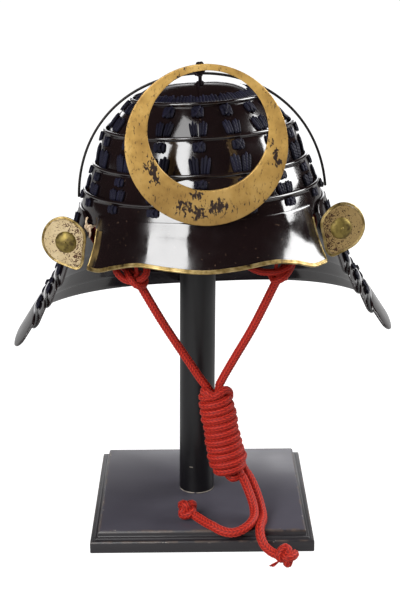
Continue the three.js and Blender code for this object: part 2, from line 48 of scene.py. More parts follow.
# The camera stands 1.33 m in front of the post and looks down on it at 17 degrees.
camera_data = bpy.data.cameras.new("photo_camera")
camera_data.lens = 83.98
camera_data.sensor_width = 36
CAMERA_SPOT = (-0.0029, -1.3313, 0.6275)
CAMERA_PAN, CAMERA_DOWN, CAMERA_ROLL = -0.0022, 0.2949, -0.0082
camera = bpy.data.objects.new("photo_camera", camera_data)
camera.matrix_world = (
    Matrix.Translation(CAMERA_SPOT)
    @ Matrix.Rotation(CAMERA_PAN, 4, "Z")
    @ Matrix.Rotation(math.pi / 2 - CAMERA_DOWN, 4, "X")
    @ Matrix.Rotation(CAMERA_ROLL, 4, "Z")
)
bpy.context.scene.collection.objects.link(camera)
bpy.context.scene.camera = camera


# Chin cord: a round braid of eight flat silk strands, dyed red. One loop runs up from the knot, through
# rings inside the bowl and down again, and its two ends hang below the knot.
def linear(hex_color):
    """An sRGB hex colour as linear red, green, blue and alpha."""
    parts = [int(hex_color[i:i + 2], 16) / 255 for i in (1, 3, 5)]
    return [p / 12.92 if p <= 0.04045 else ((p + 0.055) / 1.055) ** 2.4 for p in parts] + [1.0]


def fill(node, sockets):
    """Fills a node's sockets by name or number, or links them from an output or a node's first output."""
    for name, value in sockets.items():
        if isinstance(value, bpy.types.Node):
            value = value.outputs[0]
        if isinstance(value, bpy.types.NodeSocket):
            node.id_data.links.new(value, node.inputs[name])
        else:
            node.inputs[name].default_value = value


def add_node(material, kind, sockets=None, stops=(), **settings):
    """Adds a shader node with its options and sockets. Stops are a ramp's two ends, then those between."""
    made = material.node_tree.nodes.new("ShaderNode" + kind)
    for name, value in settings.items():
        setattr(made, name, value)
    for i, (at, lace_tone_and_shade) in enumerate(stops):
        stop = made.color_ramp.elements[i] if i < 2 else made.color_ramp.elements.new(at)
        stop.position, stop.color = at, linear(lace_tone_and_shade)
    fill(made, sockets or {})
    return made


def new_finish(name, **sockets):
    """A material with its principled shader, and that shader's own sockets set."""
    material = bpy.data.materials.new(name)
    material.use_nodes = True
    shader = material.node_tree.nodes["Principled BSDF"]
    fill(shader, {key.replace("_", " "): value for key, value in sockets.items()})
    return material, shader


def smooth_route(points, step=0.8):
    """Points in millimetres, joined by a centripetal curve and spaced evenly along it."""
    pts = [np.array(p, float) for p in points]
    pts = [2 * pts[0] - pts[1]] + pts + [2 * pts[-1] - pts[-2]]
    dense = []
    for a, b, c, d in zip(pts, pts[1:], pts[2:], pts[3:]):
        t1 = max(np.linalg.norm(b - a), 1e-6) ** 0.5
        t2 = t1 + max(np.linalg.norm(c - b), 1e-6) ** 0.5
        t3 = t2 + max(np.linalg.norm(d - c), 1e-6) ** 0.5
        for t in np.linspace(t1, t2, 24, endpoint=False):
            ab = a + (b - a) * t / t1
            bc = b + (c - b) * (t - t1) / (t2 - t1)
            cd = c + (d - c) * (t - t2) / (t3 - t2)
            abc = ab + (bc - ab) * t / t2
            bcd = bc + (cd - bc) * (t - t1) / (t3 - t1)
            dense.append(abc + (bcd - abc) * (t - t1) / (t2 - t1))
    dense.append(pts[-2])
    dense = np.array(dense)
    run = np.concatenate([[0], np.cumsum(np.linalg.norm(np.diff(dense, axis=0), axis=1))])
    at = np.linspace(0, run[-1], max(int(round(run[-1] / step)), 3) + 1)
    return np.stack([np.interp(at, run, dense[:, k]) for k in range(3)], 1)


def braid_depth(around, along, diameter):
    """How deep a point lies in the braid, from 0 in a groove to 1 on a strand, and the strands' slant."""
    column = around * 8
    across = column % 1
    side = np.where(np.floor(column) % 2 == 0, 1.0, -1.0)
    stitch = (along / (0.42 * diameter) + side * (across - 0.5) * 1.2) % 1
    return (0.4 + 0.6 * np.sin(math.pi * across) ** 0.6) * (np.sin(math.pi * stitch) ** 0.8)


def sweep(route, tangents, radii, closed):
    """Vertices and faces of a round tube along a route, with a row of radii round each point."""
    count, sides = radii.shape
    normal = np.cross(tangents[0], [0.31, 0.17, 0.93])
    turn = 2 * math.pi * np.arange(sides) / sides
    vertices, faces = [], []
    for point, tangent, radius in zip(route, tangents, radii):
        normal = normal - tangent * normal.dot(tangent)
        normal /= np.linalg.norm(normal)
        side = np.cross(tangent, normal)
        vertices.append(
            point + np.outer(radius * np.cos(turn), normal) + np.outer(radius * np.sin(turn), side))
    for i in range(count if closed else count - 1):
        a, b = i * sides, (i + 1) % count * sides
        for j in range(sides):
            k = (j + 1) % sides
            faces.append((a + j, b + j, b + k, a + k))
    if not closed:
        faces.append(tuple(range(sides)))
        faces.append(tuple(range(count * sides - 1, (count - 1) * sides - 1, -1)))
    return np.concatenate(vertices), faces


def braided_tube(route, diameter, sides=32, closed=False):
    """Vertices, faces and groove depths of a braided cord that follows a route, in millimetres."""
    tangents = np.gradient(route, axis=0)
    tangents /= np.linalg.norm(tangents, axis=1)[:, None]
    along = np.concatenate([[0], np.cumsum(np.linalg.norm(np.diff(route, axis=0), axis=1))])
    depths = np.array([braid_depth(np.arange(sides) / sides, far, diameter) for far in along])
    return *sweep(route, tangents, diameter / 2 * (0.89 + 0.16 * depths), closed), depths.ravel()


def mesh_piece(name, shapes, material, attribute=None, on_helmet=False):
    """One object from a list of vertices and faces in millimetres, with a value for each vertex if named."""
    vertices, faces, start = [], [], 0
    for shape_vertices, shape_faces, *_ in shapes:
        vertices.append(shape_vertices)
        faces += [tuple(start + v for v in face) for face in shape_faces]
        start += len(shape_vertices)
    mesh = bpy.data.meshes.new(name)
    mesh.from_pydata((np.concatenate(vertices) * MM).tolist(), [], faces)
    if on_helmet:
        mesh.transform(HELMET_PLACE)
    if attribute:
        values = np.concatenate([values for _, _, values in shapes]).astype(np.float32)
        mesh.attributes.new(attribute, "FLOAT", "POINT").data.foreach_set("value", values)
    mesh.polygons.foreach_set("use_smooth", [True] * len(mesh.polygons))
    mesh.materials.append(material)
    piece = bpy.data.objects.new(name, mesh)
    bpy.context.scene.collection.objects.link(piece)
    face_out(piece)
    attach(piece, "root")
    return piece


def cord_piece(name, tubes, material=None):
    """One object made of braided tubes, with the groove depth kept as an attribute, from which the material
    paints shade into the grooves.
    """
    return mesh_piece(name, tubes, material or red_silk, "groove")


def face_out(piece):
    """Turns every face outwards."""
    pick(piece)
    bpy.ops.object.mode_set(mode="EDIT")
    bpy.ops.mesh.select_all(action="SELECT")
    bpy.ops.mesh.normals_make_consistent(inside=False)
    bpy.ops.object.mode_set(mode="OBJECT")


def pick(piece):
    """Leaves one object selected and active."""
    bpy.ops.object.select_all(action="DESELECT")
    piece.select_set(True)
    bpy.context.view_layer.objects.active = piece


# Dyed silk: bright on the crown of each strand and dark between strands, where shade is painted in; with a
# soft sheen
red_silk, shader = new_finish(
    "red_silk_round_braid", Roughness=0.62, Sheen_Weight=0.25, Sheen_Roughness=0.4,
    Sheen_Tint=linear("#ff8070"), Specular_IOR_Level=0.25)
groove = add_node(red_silk, "Attribute", attribute_name="groove")
# Painted shade: the ramp turns the red near black where the groove depth is low.
ramp = add_node(
    red_silk, "ValToRGB", {"Fac": groove.outputs["Fac"]},
    stops=[(0, "#3c0707"), (0.8, "#c63622"), (0.42, "#971a13")])
place = add_node(red_silk, "TexCoord").outputs["Object"]
blotch = add_node(red_silk, "TexNoise", {"Vector": place, "Scale": 60.0, "Detail": 4.0})
faded = add_node(red_silk, "Mix", {0: blotch, 6: (1, 1, 1, 1), 7: linear("#d8a79c")}, data_type="RGBA")
dye_with_groove_shade = add_node(red_silk, "Mix", {0: 0.55, 6: ramp, 7: faded.outputs[2]},
                data_type="RGBA", blend_type="MULTIPLY")
# Filaments 0.35 mm wide, coarser than real ones so that they show
filament = add_node(red_silk, "TexNoise", {"Vector": place, "Scale": 1400.0, "Detail": 2.0})
bump = add_node(red_silk, "Bump", {"Strength": 0.35, "Distance": 0.0003, "Height": filament})
fill(shader, {"Base Color": dye_with_groove_shade.outputs[2], "Normal": bump})

LOOP_DIAMETER = 8.2
LOOP_ROUTE = [
    (6.3, -62.4, 153.4), (1, -63, 160.6), (-10.5, -65.4, 179.5), (-24.2, -69, 202.6), (-37.5, -72.6, 226),
    (-49.5, -76, 249), (-56, -77.8, 261.5), (-61, -78, 269.5), (-69, -74, 276.5), (-79, -66, 282.5),
    (-90, -52, 288), (-99, -32, 293), (-105, -8, 296), (-106, 18, 298), (-101, 45, 299.5),
    (-90, 69, 300.5), (-74, 88, 301.5), (-52, 103, 299), (-27, 112.5, 296.5), (0, 116, 296),
    (27, 113.5, 297.5), (53, 105, 300.5), (77, 90, 304.5), (94, 71, 304.5), (105.5, 46, 304),
    (111, 18, 303), (110.5, -8, 301.5), (105.5, -31, 298.5), (97.5, -50, 293.5), (88, -65, 286.5),
    (79.5, -75, 278), (74.3, -78.4, 270), (69, -77, 259), (61, -74.5, 241), (48.5, -70.3, 214),
    (34, -66.5, 187), (24.5, -63.8, 169), (18, -62.3, 156),
]
loop_route = smooth_route(LOOP_ROUTE)
chin_cord = cord_piece("chin_cord", [braided_tube(loop_route, LOOP_DIAMETER)])
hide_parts("chin_cord_loop")


# Chin knot: the doubled cord wound about ten turns round itself, each turn pressed flat on the next.
KNOT_TOP = np.array((12.2, -62, 151.6))
KNOT_BOTTOM = np.array((28, -62, 63.0))
KNOT_DEEP = 0.8
KNOT_WIDTHS = [(0, 12.6), (0.04, 15.6), (0.2, 18), (0.5, 17.4), (0.84, 19.4), (0.97, 17.2), (1, 14.6)]
KNOT_TURNS = 10.6
CORE = 4.1
shares = np.linspace(0, 1, int(KNOT_TURNS * 90))
knot_axis = (KNOT_BOTTOM - KNOT_TOP) / np.linalg.norm(KNOT_BOTTOM - KNOT_TOP)
knot_right = np.cross((0, 1, 0), -knot_axis)
turns = 2 * math.pi * KNOT_TURNS * shares + 0.6
# Each turn is pulled a little tighter or looser than the next, as a hand winds it.
slack = 0.35 * np.sin(shares * KNOT_TURNS * 2.3) + 0.25 * np.sin(shares * KNOT_TURNS * 5.1)
reach = np.interp(shares, *zip(*KNOT_WIDTHS)) - CORE + slack * (shares > 0.03)
height = 3.6 + (np.linalg.norm(KNOT_BOTTOM - KNOT_TOP) - 7.0) * shares + 0.5 * np.sin(turns + 1)
coil = (
    KNOT_TOP + np.outer(height, knot_axis) + np.outer(reach * np.cos(turns), knot_right)
    + np.outer(reach * np.sin(turns) * KNOT_DEEP, (0, -1, 0))
)
leg_left = smooth_route([(6.3, -62.4, 153.4), (9.5, -61.5, 147), (12, -61, 138), (14, -61, 126)])
leg_right = smooth_route([(18, -62.3, 156), (17.4, -61.5, 148), (19.5, -61, 138), (20, -61, 126)])
crossing = smooth_route([(3, -63, 150), (5.5, -69, 150.5), (12, -71, 147), (18, -69.5, 150),
                         (23, -66, 151.5), (27, -61, 148), (27.5, -58, 141)])
bight = smooth_route([(24, -60, 66), (27, -64, 61), (31, -66.5, 59.4), (35.5, -64.5, 60.5), (38, -60, 66)])
tail_root = smooth_route([(30, -60, 76), (36, -63, 68), (39.5, -65.6, 61.6)])
other_root = smooth_route([(34, -58, 78), (40, -58, 70), (44.2, -58.4, 62.4)])
knot_tubes = [braided_tube(coil, 2 * CORE, sides=24)]
for strand in (leg_left, leg_right, crossing):
    knot_tubes.append(braided_tube(strand, LOOP_DIAMETER, sides=24))
for strand in (bight, tail_root, other_root):
    knot_tubes.append(braided_tube(strand, 7.8, sides=24))
chin_knot = cord_piece("chin_knot_coil", knot_tubes)
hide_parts("chin_knot")

# Cord tails: the slack ends lie over the edge of the base, each stopped by a knot. One knot has frayed.
TAIL_DIAMETER = 8.8
TAIL_ROUTES = {
    "left": [
        (39.5, -65.6, 61.6), (42.6, -67, 55.5), (45.2, -69, 49.4), (49, -74.5, 40.5), (51.2, -81.5, 33.5),
        (51.1, -89.5, 29.3), (48.6, -97, 27.3), (44, -103.2, 25.2), (37.5, -107.4, 22.8),
        (30.5, -108.9, 21.2),
        (23.8, -108.2, 21.2), (17.2, -105.8, 22.5), (10.5, -101.2, 24.4), (4, -95, 25.2), (-2.5, -87.5, 26.2),
        (-6.9, -82.9, 27.3),
    ],
    "right": [
        (44.2, -58.4, 62.4), (47.8, -59.4, 56.5), (51.2, -61, 49.8), (55.6, -66, 39), (58.4, -73, 30.6),
        (59.6, -81.5, 25.8), (59, -90.5, 25), (57.2, -98.5, 24.9), (55.9, -105.5, 22.6), (56.6, -111.8, 17.4),
        (59.6, -117.5, 12), (64.4, -122.8, 8.8), (69, -127, 7.8), (72.9, -130.7, 8.4),
    ],
}
END_KNOTS = {"left": ((-14.3, -75.3, 30.4), 10.6, 0.5), "right": ((80, -138, 11.2), 11, 2.1)}


def trefoil(count, deep):
    """The line of an overhand knot drawn tight, seen from the front, with its lobes 3 out."""
    t = np.linspace(0, 2 * math.pi, count, endpoint=False)
    return np.stack([np.sin(t) + 2 * np.sin(2 * t), deep * np.sin(3 * t), np.cos(t) - 2 * np.cos(2 * t)], 1)


for side, points in TAIL_ROUTES.items():
    tail_route = smooth_route(points, 0.6)
    tail = cord_piece(f"cord_tail_{side}", [braided_tube(tail_route, TAIL_DIAMETER)])
    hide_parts(f"chin_cord_tail_{side}")
    middle_point, knot_radius, spin = END_KNOTS[side]
    lobes = trefoil(150, -1.9)[:, [0, 2, 1]] * (knot_radius - 3.7) / 3
    turned = lobes @ np.array(Matrix.Rotation(spin, 3, "X") @ Matrix.Rotation(spin * 1.3, 3, "Y")).T
    end_tubes = [braided_tube(turned + np.array(middle_point), 8.2, sides=24, closed=True)]
    if side == "right":
        rng = np.random.default_rng(7)
        for _ in range(26):
            drift = rng.normal(0, 1.1, 3)
            tuft = [(74, -139, 7.5), (70 + drift[0] * 0.4, -141 + drift[1] * 0.5, 4.6 + abs(drift[2]) * 0.5),
                    (66 + drift[0] * 1.4, -142 + drift[1], 2.4 + abs(drift[2]) * 0.5)]
            end_tubes.append(braided_tube(smooth_route(tuft, 1.2), 0.9, sides=6))
    end_knot = cord_piece(f"cord_end_{side}", end_tubes)
    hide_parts(f"end_knot_{side}")

# Cord rings: loops of the same red cord, sewn inside the lowest bowl ring, that the chin cord runs through.
HELMET_PLACE = (
    Matrix.Translation((0.0025, 0, 0.330))
    @ Matrix.Rotation(math.radians(-2.2), 4, "Y")
    @ Matrix.Rotation(math.radians(-2), 4, "X")
)
BOWL_DEEP = 1.09
SEAT_WALL, SEAT_HEIGHT = 114, -9
CORD_RING = 6.9
# Where each ring is: the point of the loop's route, and the angle round the bowl
RINGS_ALONG = {
    "front_left": (7, -40), "front_right": (31, 42), "back_left": (16, -139), "back_right": (22, 137),
}
for name, (stop, angle) in RINGS_ALONG.items():
    before, at, after = [np.array(LOOP_ROUTE[stop + k], float) for k in (-1, 0, 1)]
    along = (after - before) / np.linalg.norm(after - before)
    turn = math.radians(angle)
    seat = Vector((SEAT_WALL * math.sin(turn), -BOWL_DEEP * SEAT_WALL * math.cos(turn), SEAT_HEIGHT)) * MM
    seat = np.array(HELMET_PLACE @ seat) / MM
    up = seat - at
    up -= along * up.dot(along)
    up /= np.linalg.norm(up)
    cross = np.cross(along, up)
    turns = np.linspace(0, 2 * math.pi, 60, endpoint=False)
    ring = at + CORD_RING * (np.outer(np.cos(turns), up) + np.outer(np.sin(turns), cross))
    start = at + up * CORD_RING
    strap = smooth_route([start, (start + seat) / 2 + up * 2, seat], 0.6)
    tubes = [braided_tube(ring, 3.6, sides=16, closed=True), braided_tube(strap, 3.4, sides=16)]
    anchor = cord_piece(f"cord_ring_{name}", tubes)
    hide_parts(f"cord_anchor_{name}")

# Cord bights: under the brow the cord is hitched up, so that a thick bight of it shows at each side.
BIGHTS = {
    "left": [[(-80, -80, 287), (-78.5, -83, 281), (-76.5, -85, 275.5), (-71, -86, 270), (-63.5, -86.5, 267.5),
              (-56, -86, 268.5), (-50.5, -84, 273), (-49.5, -80, 280), (-51, -76, 287)],
             [(-68, -80, 275), (-64, -88, 270), (-58.5, -89.5, 264.5), (-52.5, -84, 263), (-51, -77, 267)]],
    "right": [[(41, -78, 289), (44, -82, 281.5), (53, -85, 276.5), (64.5, -86, 275), (75, -85.5, 276),
               (82.5, -83, 280), (86, -78, 288)],
              [(86, -76, 279), (81, -85, 273.5), (75, -88.5, 269), (69, -84, 266.5), (66.5, -77, 270)]],
}
for name, routes in BIGHTS.items():
    bight_tubes = [braided_tube(smooth_route(route, 0.6), 6.6, sides=24) for route in routes]
    cord_piece(f"cord_bight_{name}", bight_tubes)


# Stand base: a square plinth of painted softwood, with a cove and a rounded board worked along its edge.
# Its satin black is rubbed through to the wood on the arrises, with a few pale chips.
def named(name):
    """Names the active object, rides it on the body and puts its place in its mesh."""
    piece = bpy.context.object
    piece.name = name
    piece.data.name = name
    bpy.ops.object.transform_apply(location=True, rotation=True, scale=True)
    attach(piece, "root")
    return piece


def apply_modifier(piece, kind, **settings):
    """Adds a modifier with its settings and applies it."""
    pick(piece)
    modifier = piece.modifiers.new(kind.lower(), kind)
    for name, value in settings.items():
        setattr(modifier, name, value)
    bpy.ops.object.modifier_apply(modifier=modifier.name)


def bevel(piece, width, segments=3, limit=1.0):
    """Softens the edges that turn by more than the limit, by a width in millimetres."""
    apply_modifier(
        piece, "BEVEL", width=width * MM, segments=segments, limit_method="ANGLE", angle_limit=limit)


def finish(piece, material, degrees=40):
    """Gives a piece its material, and smooths the edges that turn by less than an angle."""
    piece.data.materials.append(material)
    pick(piece)
    bpy.ops.object.shade_smooth_by_angle(angle=math.radians(degrees))


PLINTH = [
    (107.6, 0.0), (108.3, 0.5), (108.5, 1.4), (108.5, 10.2), (108.2, 11.3), (107.4, 12.0), (105.2, 12.2),
    (104.2, 12.5), (103.5, 13.4), (102.4, 14.0), (101.6, 14.2), (101.2, 14.9), (101.3, 16.2), (101.1, 18.0),
    (100.4, 19.3), (99.4, 20.1),
]
bpy.ops.mesh.primitive_plane_add(size=2 * PLINTH[0][0] * MM, location=(0, 0, 0))
stand_base = bpy.context.object
bpy.ops.object.mode_set(mode="EDIT")
bpy.ops.mesh.select_all(action="SELECT")
for (was, low), (half, high) in zip(PLINTH, PLINTH[1:]):
    bpy.ops.mesh.extrude_region_move(TRANSFORM_OT_translate={"value": (0, 0, (high - low) * MM)})
    bpy.ops.transform.resize(value=(half / was, half / was, 1), center_override=(0, 0, high * MM))
bpy.ops.object.mode_set(mode="OBJECT")
stand_base = named("base_moulding")
face_out(stand_base)
bevel(stand_base, 0.5, 2, 0.9)
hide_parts("stand_base")

# Satin black paint, brushed thin: grey sheen, painted in as a lighter grey on the base's top board, faint
# grain, brown wood on the arrises and cream chips
stand_paint, shader = new_finish("satin_black_paint_on_wood", Specular_IOR_Level=0.5)
place = add_node(stand_paint, "TexCoord").outputs["Object"]
axes = add_node(stand_paint, "SeparateXYZ", {"Vector": place})
grain_place = add_node(stand_paint, "Mapping", {"Vector": place, "Scale": (30, 400, 200)})
grain = add_node(stand_paint, "TexNoise", {"Vector": grain_place, "Scale": 1.0, "Detail": 5.0})
clouds = add_node(stand_paint, "TexNoise", {"Vector": place, "Scale": 18.0, "Detail": 4.0})
post_tone = add_node(stand_paint, "Mix", {
    0: clouds, 6: linear("#070608"), 7: linear("#100f12")}, data_type="RGBA")
# Painted sheen: the base's greys stand for the bright backdrop seen in the satin black paint.
base_tone_with_painted_light = add_node(stand_paint, "Mix", {
    0: clouds, 6: linear("#3e3c45"), 7: linear("#57555f")}, data_type="RGBA")
on_board = add_node(stand_paint, "Math", {0: axes.outputs["Z"], 1: 0.0216}, operation="LESS_THAN")
# The top board is painted a lighter grey, a painted sheen of the white backdrop, and the mouldings and the
# plinth's sides nearer black, painted shade.
painted_sheen_on_top = add_node(stand_paint, "MapRange", {
    "Value": axes.outputs["Z"], "From Min": 0.0190, "From Max": 0.0203})
base_tone_with_painted_light = add_node(stand_paint, "Mix", {
    0: painted_sheen_on_top, 6: linear("#29272a"), 7: base_tone_with_painted_light.outputs[2]}, data_type="RGBA")
paint_tone = add_node(stand_paint, "Mix", {
    0: on_board, 6: post_tone.outputs[2], 7: base_tone_with_painted_light.outputs[2]}, data_type="RGBA")
far_x = add_node(stand_paint, "Math", {0: axes.outputs["X"]}, operation="ABSOLUTE")
far_y = add_node(stand_paint, "Math", {0: axes.outputs["Y"]}, operation="ABSOLUTE")
out = add_node(stand_paint, "Math", {0: far_x, 1: far_y}, operation="MAXIMUM")
# 1 on the top board's edge, and on the plinth's upper edge
board = add_node(stand_paint, "MapRange", {"Value": out, "From Min": 0.0975, "From Max": 0.1005})
plinth_up = add_node(stand_paint, "MapRange", {
    "Value": axes.outputs["Z"], "From Min": 0.0098, "From Max": 0.0122})
plinth_out = add_node(stand_paint, "MapRange", {"Value": out, "From Min": 0.1064, "From Max": 0.1080})
plinth_edge = add_node(stand_paint, "Math", {0: plinth_up, 1: plinth_out}, operation="MULTIPLY")
top_only = add_node(stand_paint, "MapRange", {
    "Value": axes.outputs["Z"], "From Min": 0.0172, "From Max": 0.0195})
board_edge = add_node(stand_paint, "Math", {0: board, 1: top_only}, operation="MULTIPLY")
on_base = add_node(stand_paint, "Math", {0: axes.outputs["Z"], 1: 0.0215}, operation="LESS_THAN")
edges = add_node(stand_paint, "Math", {0: plinth_edge, 1: board_edge}, operation="MAXIMUM")
edges = add_node(stand_paint, "Math", {0: edges, 1: on_base}, operation="MULTIPLY")
rub = add_node(stand_paint, "TexNoise", {"Vector": place, "Scale": 95.0, "Detail": 6.0})
rub_mask = add_node(stand_paint, "MapRange", {"Value": rub, "From Min": 0.44, "From Max": 0.60})
worn = add_node(stand_paint, "Math", {0: edges, 1: rub_mask}, operation="MULTIPLY")
chip_noise = add_node(stand_paint, "TexNoise", {"Vector": place, "Scale": 160.0, "Detail": 3.0})
chip_mask = add_node(stand_paint, "MapRange", {"Value": chip_noise, "From Min": 0.66, "From Max": 0.69})
chips = add_node(stand_paint, "Math", {0: edges, 1: chip_mask}, operation="MULTIPLY")
# The paint has broken in a ring where the post stands in the base, and the post has a short scratch.
foot = add_node(stand_paint, "Math", {0: axes.outputs["Z"], 1: 0.0211}, operation="SUBTRACT")
foot_near = add_node(stand_paint, "Math", {0: foot}, operation="ABSOLUTE")
foot_ring = add_node(stand_paint, "MapRange", {"Value": foot_near, "From Min": 0.0009, "From Max": 0.0003})
from_post = add_node(stand_paint, "Mapping", {"Vector": place, "Location": (0.005, 0, 0), "Scale": (1, 1, 0)})
post_far = add_node(stand_paint, "VectorMath", {0: from_post}, operation="LENGTH")
near_post = add_node(stand_paint, "MapRange", {
    "Value": post_far.outputs["Value"], "From Min": 0.0198, "From Max": 0.0188})
foot_broken = add_node(stand_paint, "MapRange", {"Value": rub, "From Min": 0.40, "From Max": 0.52})
foot_mask = add_node(stand_paint, "Math", {0: foot_ring, 1: near_post}, operation="MULTIPLY")
foot_mask = add_node(stand_paint, "Math", {0: foot_mask, 1: foot_broken}, operation="MULTIPLY")
scratch_far = add_node(stand_paint, "Math", {0: axes.outputs["Z"], 1: 0.0495}, operation="SUBTRACT")
scratch_near = add_node(stand_paint, "Math", {0: scratch_far}, operation="ABSOLUTE")
scratch = add_node(stand_paint, "MapRange", {
    "Value": scratch_near, "From Min": 0.0005, "From Max": 0.0001, "To Max": 0.7})
scratch_span = add_node(
    stand_paint, "Math", {0: axes.outputs["X"], 1: -0.0105, 2: 0.0018}, operation="COMPARE")
scratch = add_node(stand_paint, "Math", {0: scratch, 1: scratch_span}, operation="MULTIPLY")
pale = add_node(stand_paint, "Math", {0: foot_mask, 1: chips}, operation="MAXIMUM")
pale = add_node(stand_paint, "Math", {0: pale, 1: scratch}, operation="MAXIMUM")
rubbed = add_node(stand_paint, "Mix", {
    0: worn, 6: paint_tone.outputs[2], 7: linear("#594b42")}, data_type="RGBA")
chipped = add_node(stand_paint, "Mix", {
    0: pale, 6: rubbed.outputs[2], 7: linear("#b9b0a2")}, data_type="RGBA")
sheen_map = add_node(stand_paint, "MapRange", {
    "Value": clouds, "From Min": 0.3, "From Max": 0.7, "To Min": 0.34, "To Max": 0.46})
grain_bump = add_node(stand_paint, "Bump", {"Strength": 0.12, "Distance": 0.0004, "Height": grain})
fill(shader, {"Base Color": chipped.outputs[2], "Roughness": sheen_map, "Normal": grain_bump})
finish(stand_base, stand_paint, 35)

# Post: a turned wooden dowel, painted with the base, whose foot is glued into it.
POST_X, POST_FOOT, POST_TALL, POST_RADIUS = -5, 20.45, 383.5, 17.7
POST_LEAN = 0.0135
HEAD_SHIFT = 5.2
bpy.ops.mesh.primitive_cylinder_add(
    vertices=96, radius=POST_RADIUS * MM, depth=POST_TALL * MM,
    location=(POST_X * MM, 0, (POST_FOOT + POST_TALL / 2) * MM))
stand_post = named("post_dowel")
bevel(stand_post, 0.6)
# It leans a little to the viewer's right, 5 mm at its head.
for vertex in stand_post.data.vertices:
    vertex.co.x += POST_LEAN * (vertex.co.z - POST_FOOT * MM)
finish(stand_post, stand_paint)
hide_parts("stand_post")


# Post head: a rounded block on top of the post that fills the crown of the bowl, turned from the same wood.
def spun(name, profile, steps=128, deep=1.0):
    """Spins a profile of (radius, height) points about the upright axis, from the front round."""
    mesh = bpy.data.meshes.new(name)
    points = [(0, -r * MM, z * MM) for r, z in profile]
    edges = [(i, i + 1) for i in range(len(points) - 1)]
    if profile[0][0] > 0:
        edges.append((len(points) - 1, 0))
    mesh.from_pydata(points, edges, [])
    piece = bpy.data.objects.new(name, mesh)
    bpy.context.scene.collection.objects.link(piece)
    pick(piece)
    bpy.ops.object.mode_set(mode="EDIT")
    bpy.ops.mesh.select_all(action="SELECT")
    bpy.ops.mesh.spin(steps=steps, angle=2 * math.pi, center=(0, 0, 0), axis=(0, 0, 1))
    bpy.ops.mesh.select_all(action="SELECT")
    bpy.ops.mesh.remove_doubles(threshold=0.00001)
    bpy.ops.mesh.select_all(action="SELECT")
    bpy.ops.transform.resize(value=(1, deep, 1), center_override=(0, 0, 0))
    bpy.ops.mesh.normals_make_consistent(inside=False)
    bpy.ops.object.mode_set(mode="OBJECT")
    return named(name)


HEAD_PROFILE = [
    (0, 404.35), (18.6, 404.35), (19.8, 405.2), (20, 407), (20, 426), (20.8, 428.4), (24.6, 429.9),
    (25.9, 431.4), (26, 433.4), (24.8, 434.3), (15.6, 436.6), (8, 437.8), (0, 438.2),
]
post_head = spun("post_head_block", HEAD_PROFILE, steps=72)
post_head.data.transform(Matrix.Translation(((POST_X + HEAD_SHIFT) * MM, 0, 0)))
finish(post_head, stand_paint)
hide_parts("post_head")


# Crown plate: a domed iron disc under black lacquer, laced to the first ring by a close row round its edge.
# Lacquer is laid on in many rubbed coats: near black, brown where thin, and mirror bright over low ripples.
black_lacquer, shader = new_finish(
    "black_urushi_lacquer", IOR=1.85, Specular_IOR_Level=0.5, Coat_Weight=0.0)
place = add_node(black_lacquer, "TexCoord").outputs["Object"]
thin = add_node(black_lacquer, "TexNoise", {"Vector": place, "Scale": 14.0, "Detail": 3.0})
body_tone = add_node(black_lacquer, "Mix", {
    0: thin, 6: linear("#0a0708"), 7: linear("#1d1213")}, data_type="RGBA")
speck = add_node(black_lacquer, "TexNoise", {"Vector": place, "Scale": 330.0, "Detail": 2.0})
speck_mask = add_node(black_lacquer, "MapRange", {"Value": speck, "From Min": 0.70, "From Max": 0.75})
spotted = add_node(black_lacquer, "Mix", {
    0: speck_mask, 6: body_tone.outputs[2], 7: linear("#4a3a30")}, data_type="RGBA")
dull = add_node(black_lacquer, "TexNoise", {"Vector": place, "Scale": 45.0, "Detail": 5.0})
gloss = add_node(black_lacquer, "MapRange", {
    "Value": dull, "From Min": 0.35, "From Max": 0.7, "To Min": 0.07, "To Max": 0.2})
# Ripples 35 mm long and fine pits 2 mm apart
ripple = add_node(black_lacquer, "TexNoise", {"Vector": place, "Scale": 28.0, "Detail": 1.5})
pits = add_node(black_lacquer, "TexNoise", {"Vector": place, "Scale": 420.0, "Detail": 2.0})
low_bump = add_node(black_lacquer, "Bump", {"Strength": 0.32, "Distance": 0.0016, "Height": ripple})
fine_bump = add_node(black_lacquer, "Bump", {
    "Strength": 0.05, "Distance": 0.0004, "Height": pits, "Normal": low_bump})
fill(shader, {"Base Color": spotted.outputs[2], "Roughness": gloss, "Normal": fine_bump})


def set_on_helmet(piece, material, degrees=38):
    """Moves a piece made about the helmet's own axis to where the helmet sits, and finishes it."""
    piece.data.transform(HELMET_PLACE)
    finish(piece, material, degrees)


WALL = 1.6
CROWN_TOP, CROWN_DROP, CROWN_RADIUS = 111, 17.6, 59.4
crown_radii = [0, 8, 16, 24, 31, 37, 42, 46.5, 50.5, 54, 57, CROWN_RADIUS]
crown_outer = [(r, CROWN_TOP - CROWN_DROP * (r / CROWN_RADIUS) ** 3) for r in crown_radii]
crown_inner = [(max(r - WALL * r / CROWN_RADIUS, 0), z - WALL) for r, z in crown_outer]
crown_plate = spun("crown_dome", crown_outer + crown_inner[::-1], deep=BOWL_DEEP)
set_on_helmet(crown_plate, black_lacquer)
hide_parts("crown_plate")

# Bowl rings: four hoops of lacquered iron, each hung by laces from the one above so that the bowl folds
# flat. The upper edge of each is rolled to a bead.
RING_LIPS = [(64.2, 96), (91.5, 69), (103.5, 37), (114.5, 12.6)]
RING_BULGE = [1.3, 0.9, 0.6, 0.3]
LOWEST_FOOT = (118, -12)
# The rolled bead, as steps out and up from the lip
BEAD = [(-2.7, 0.9), (-2.3, 1.5), (-1.5, 1.8), (-0.7, 1.55), (-0.1, 0.9), (0.1, 0.1), (-0.1, -0.8),
        (-0.6, -1.5), (-1.15, -2.1)]


def ring_ends(i):
    """Radius and height of a ring's wall under its bead, and at its foot."""
    lip, top = RING_LIPS[i]
    foot = (RING_LIPS[i + 1][0] - 4.8, RING_LIPS[i + 1][1] - 3) if i < 3 else LOWEST_FOOT
    return (lip - 1.2, top - 2.4), foot


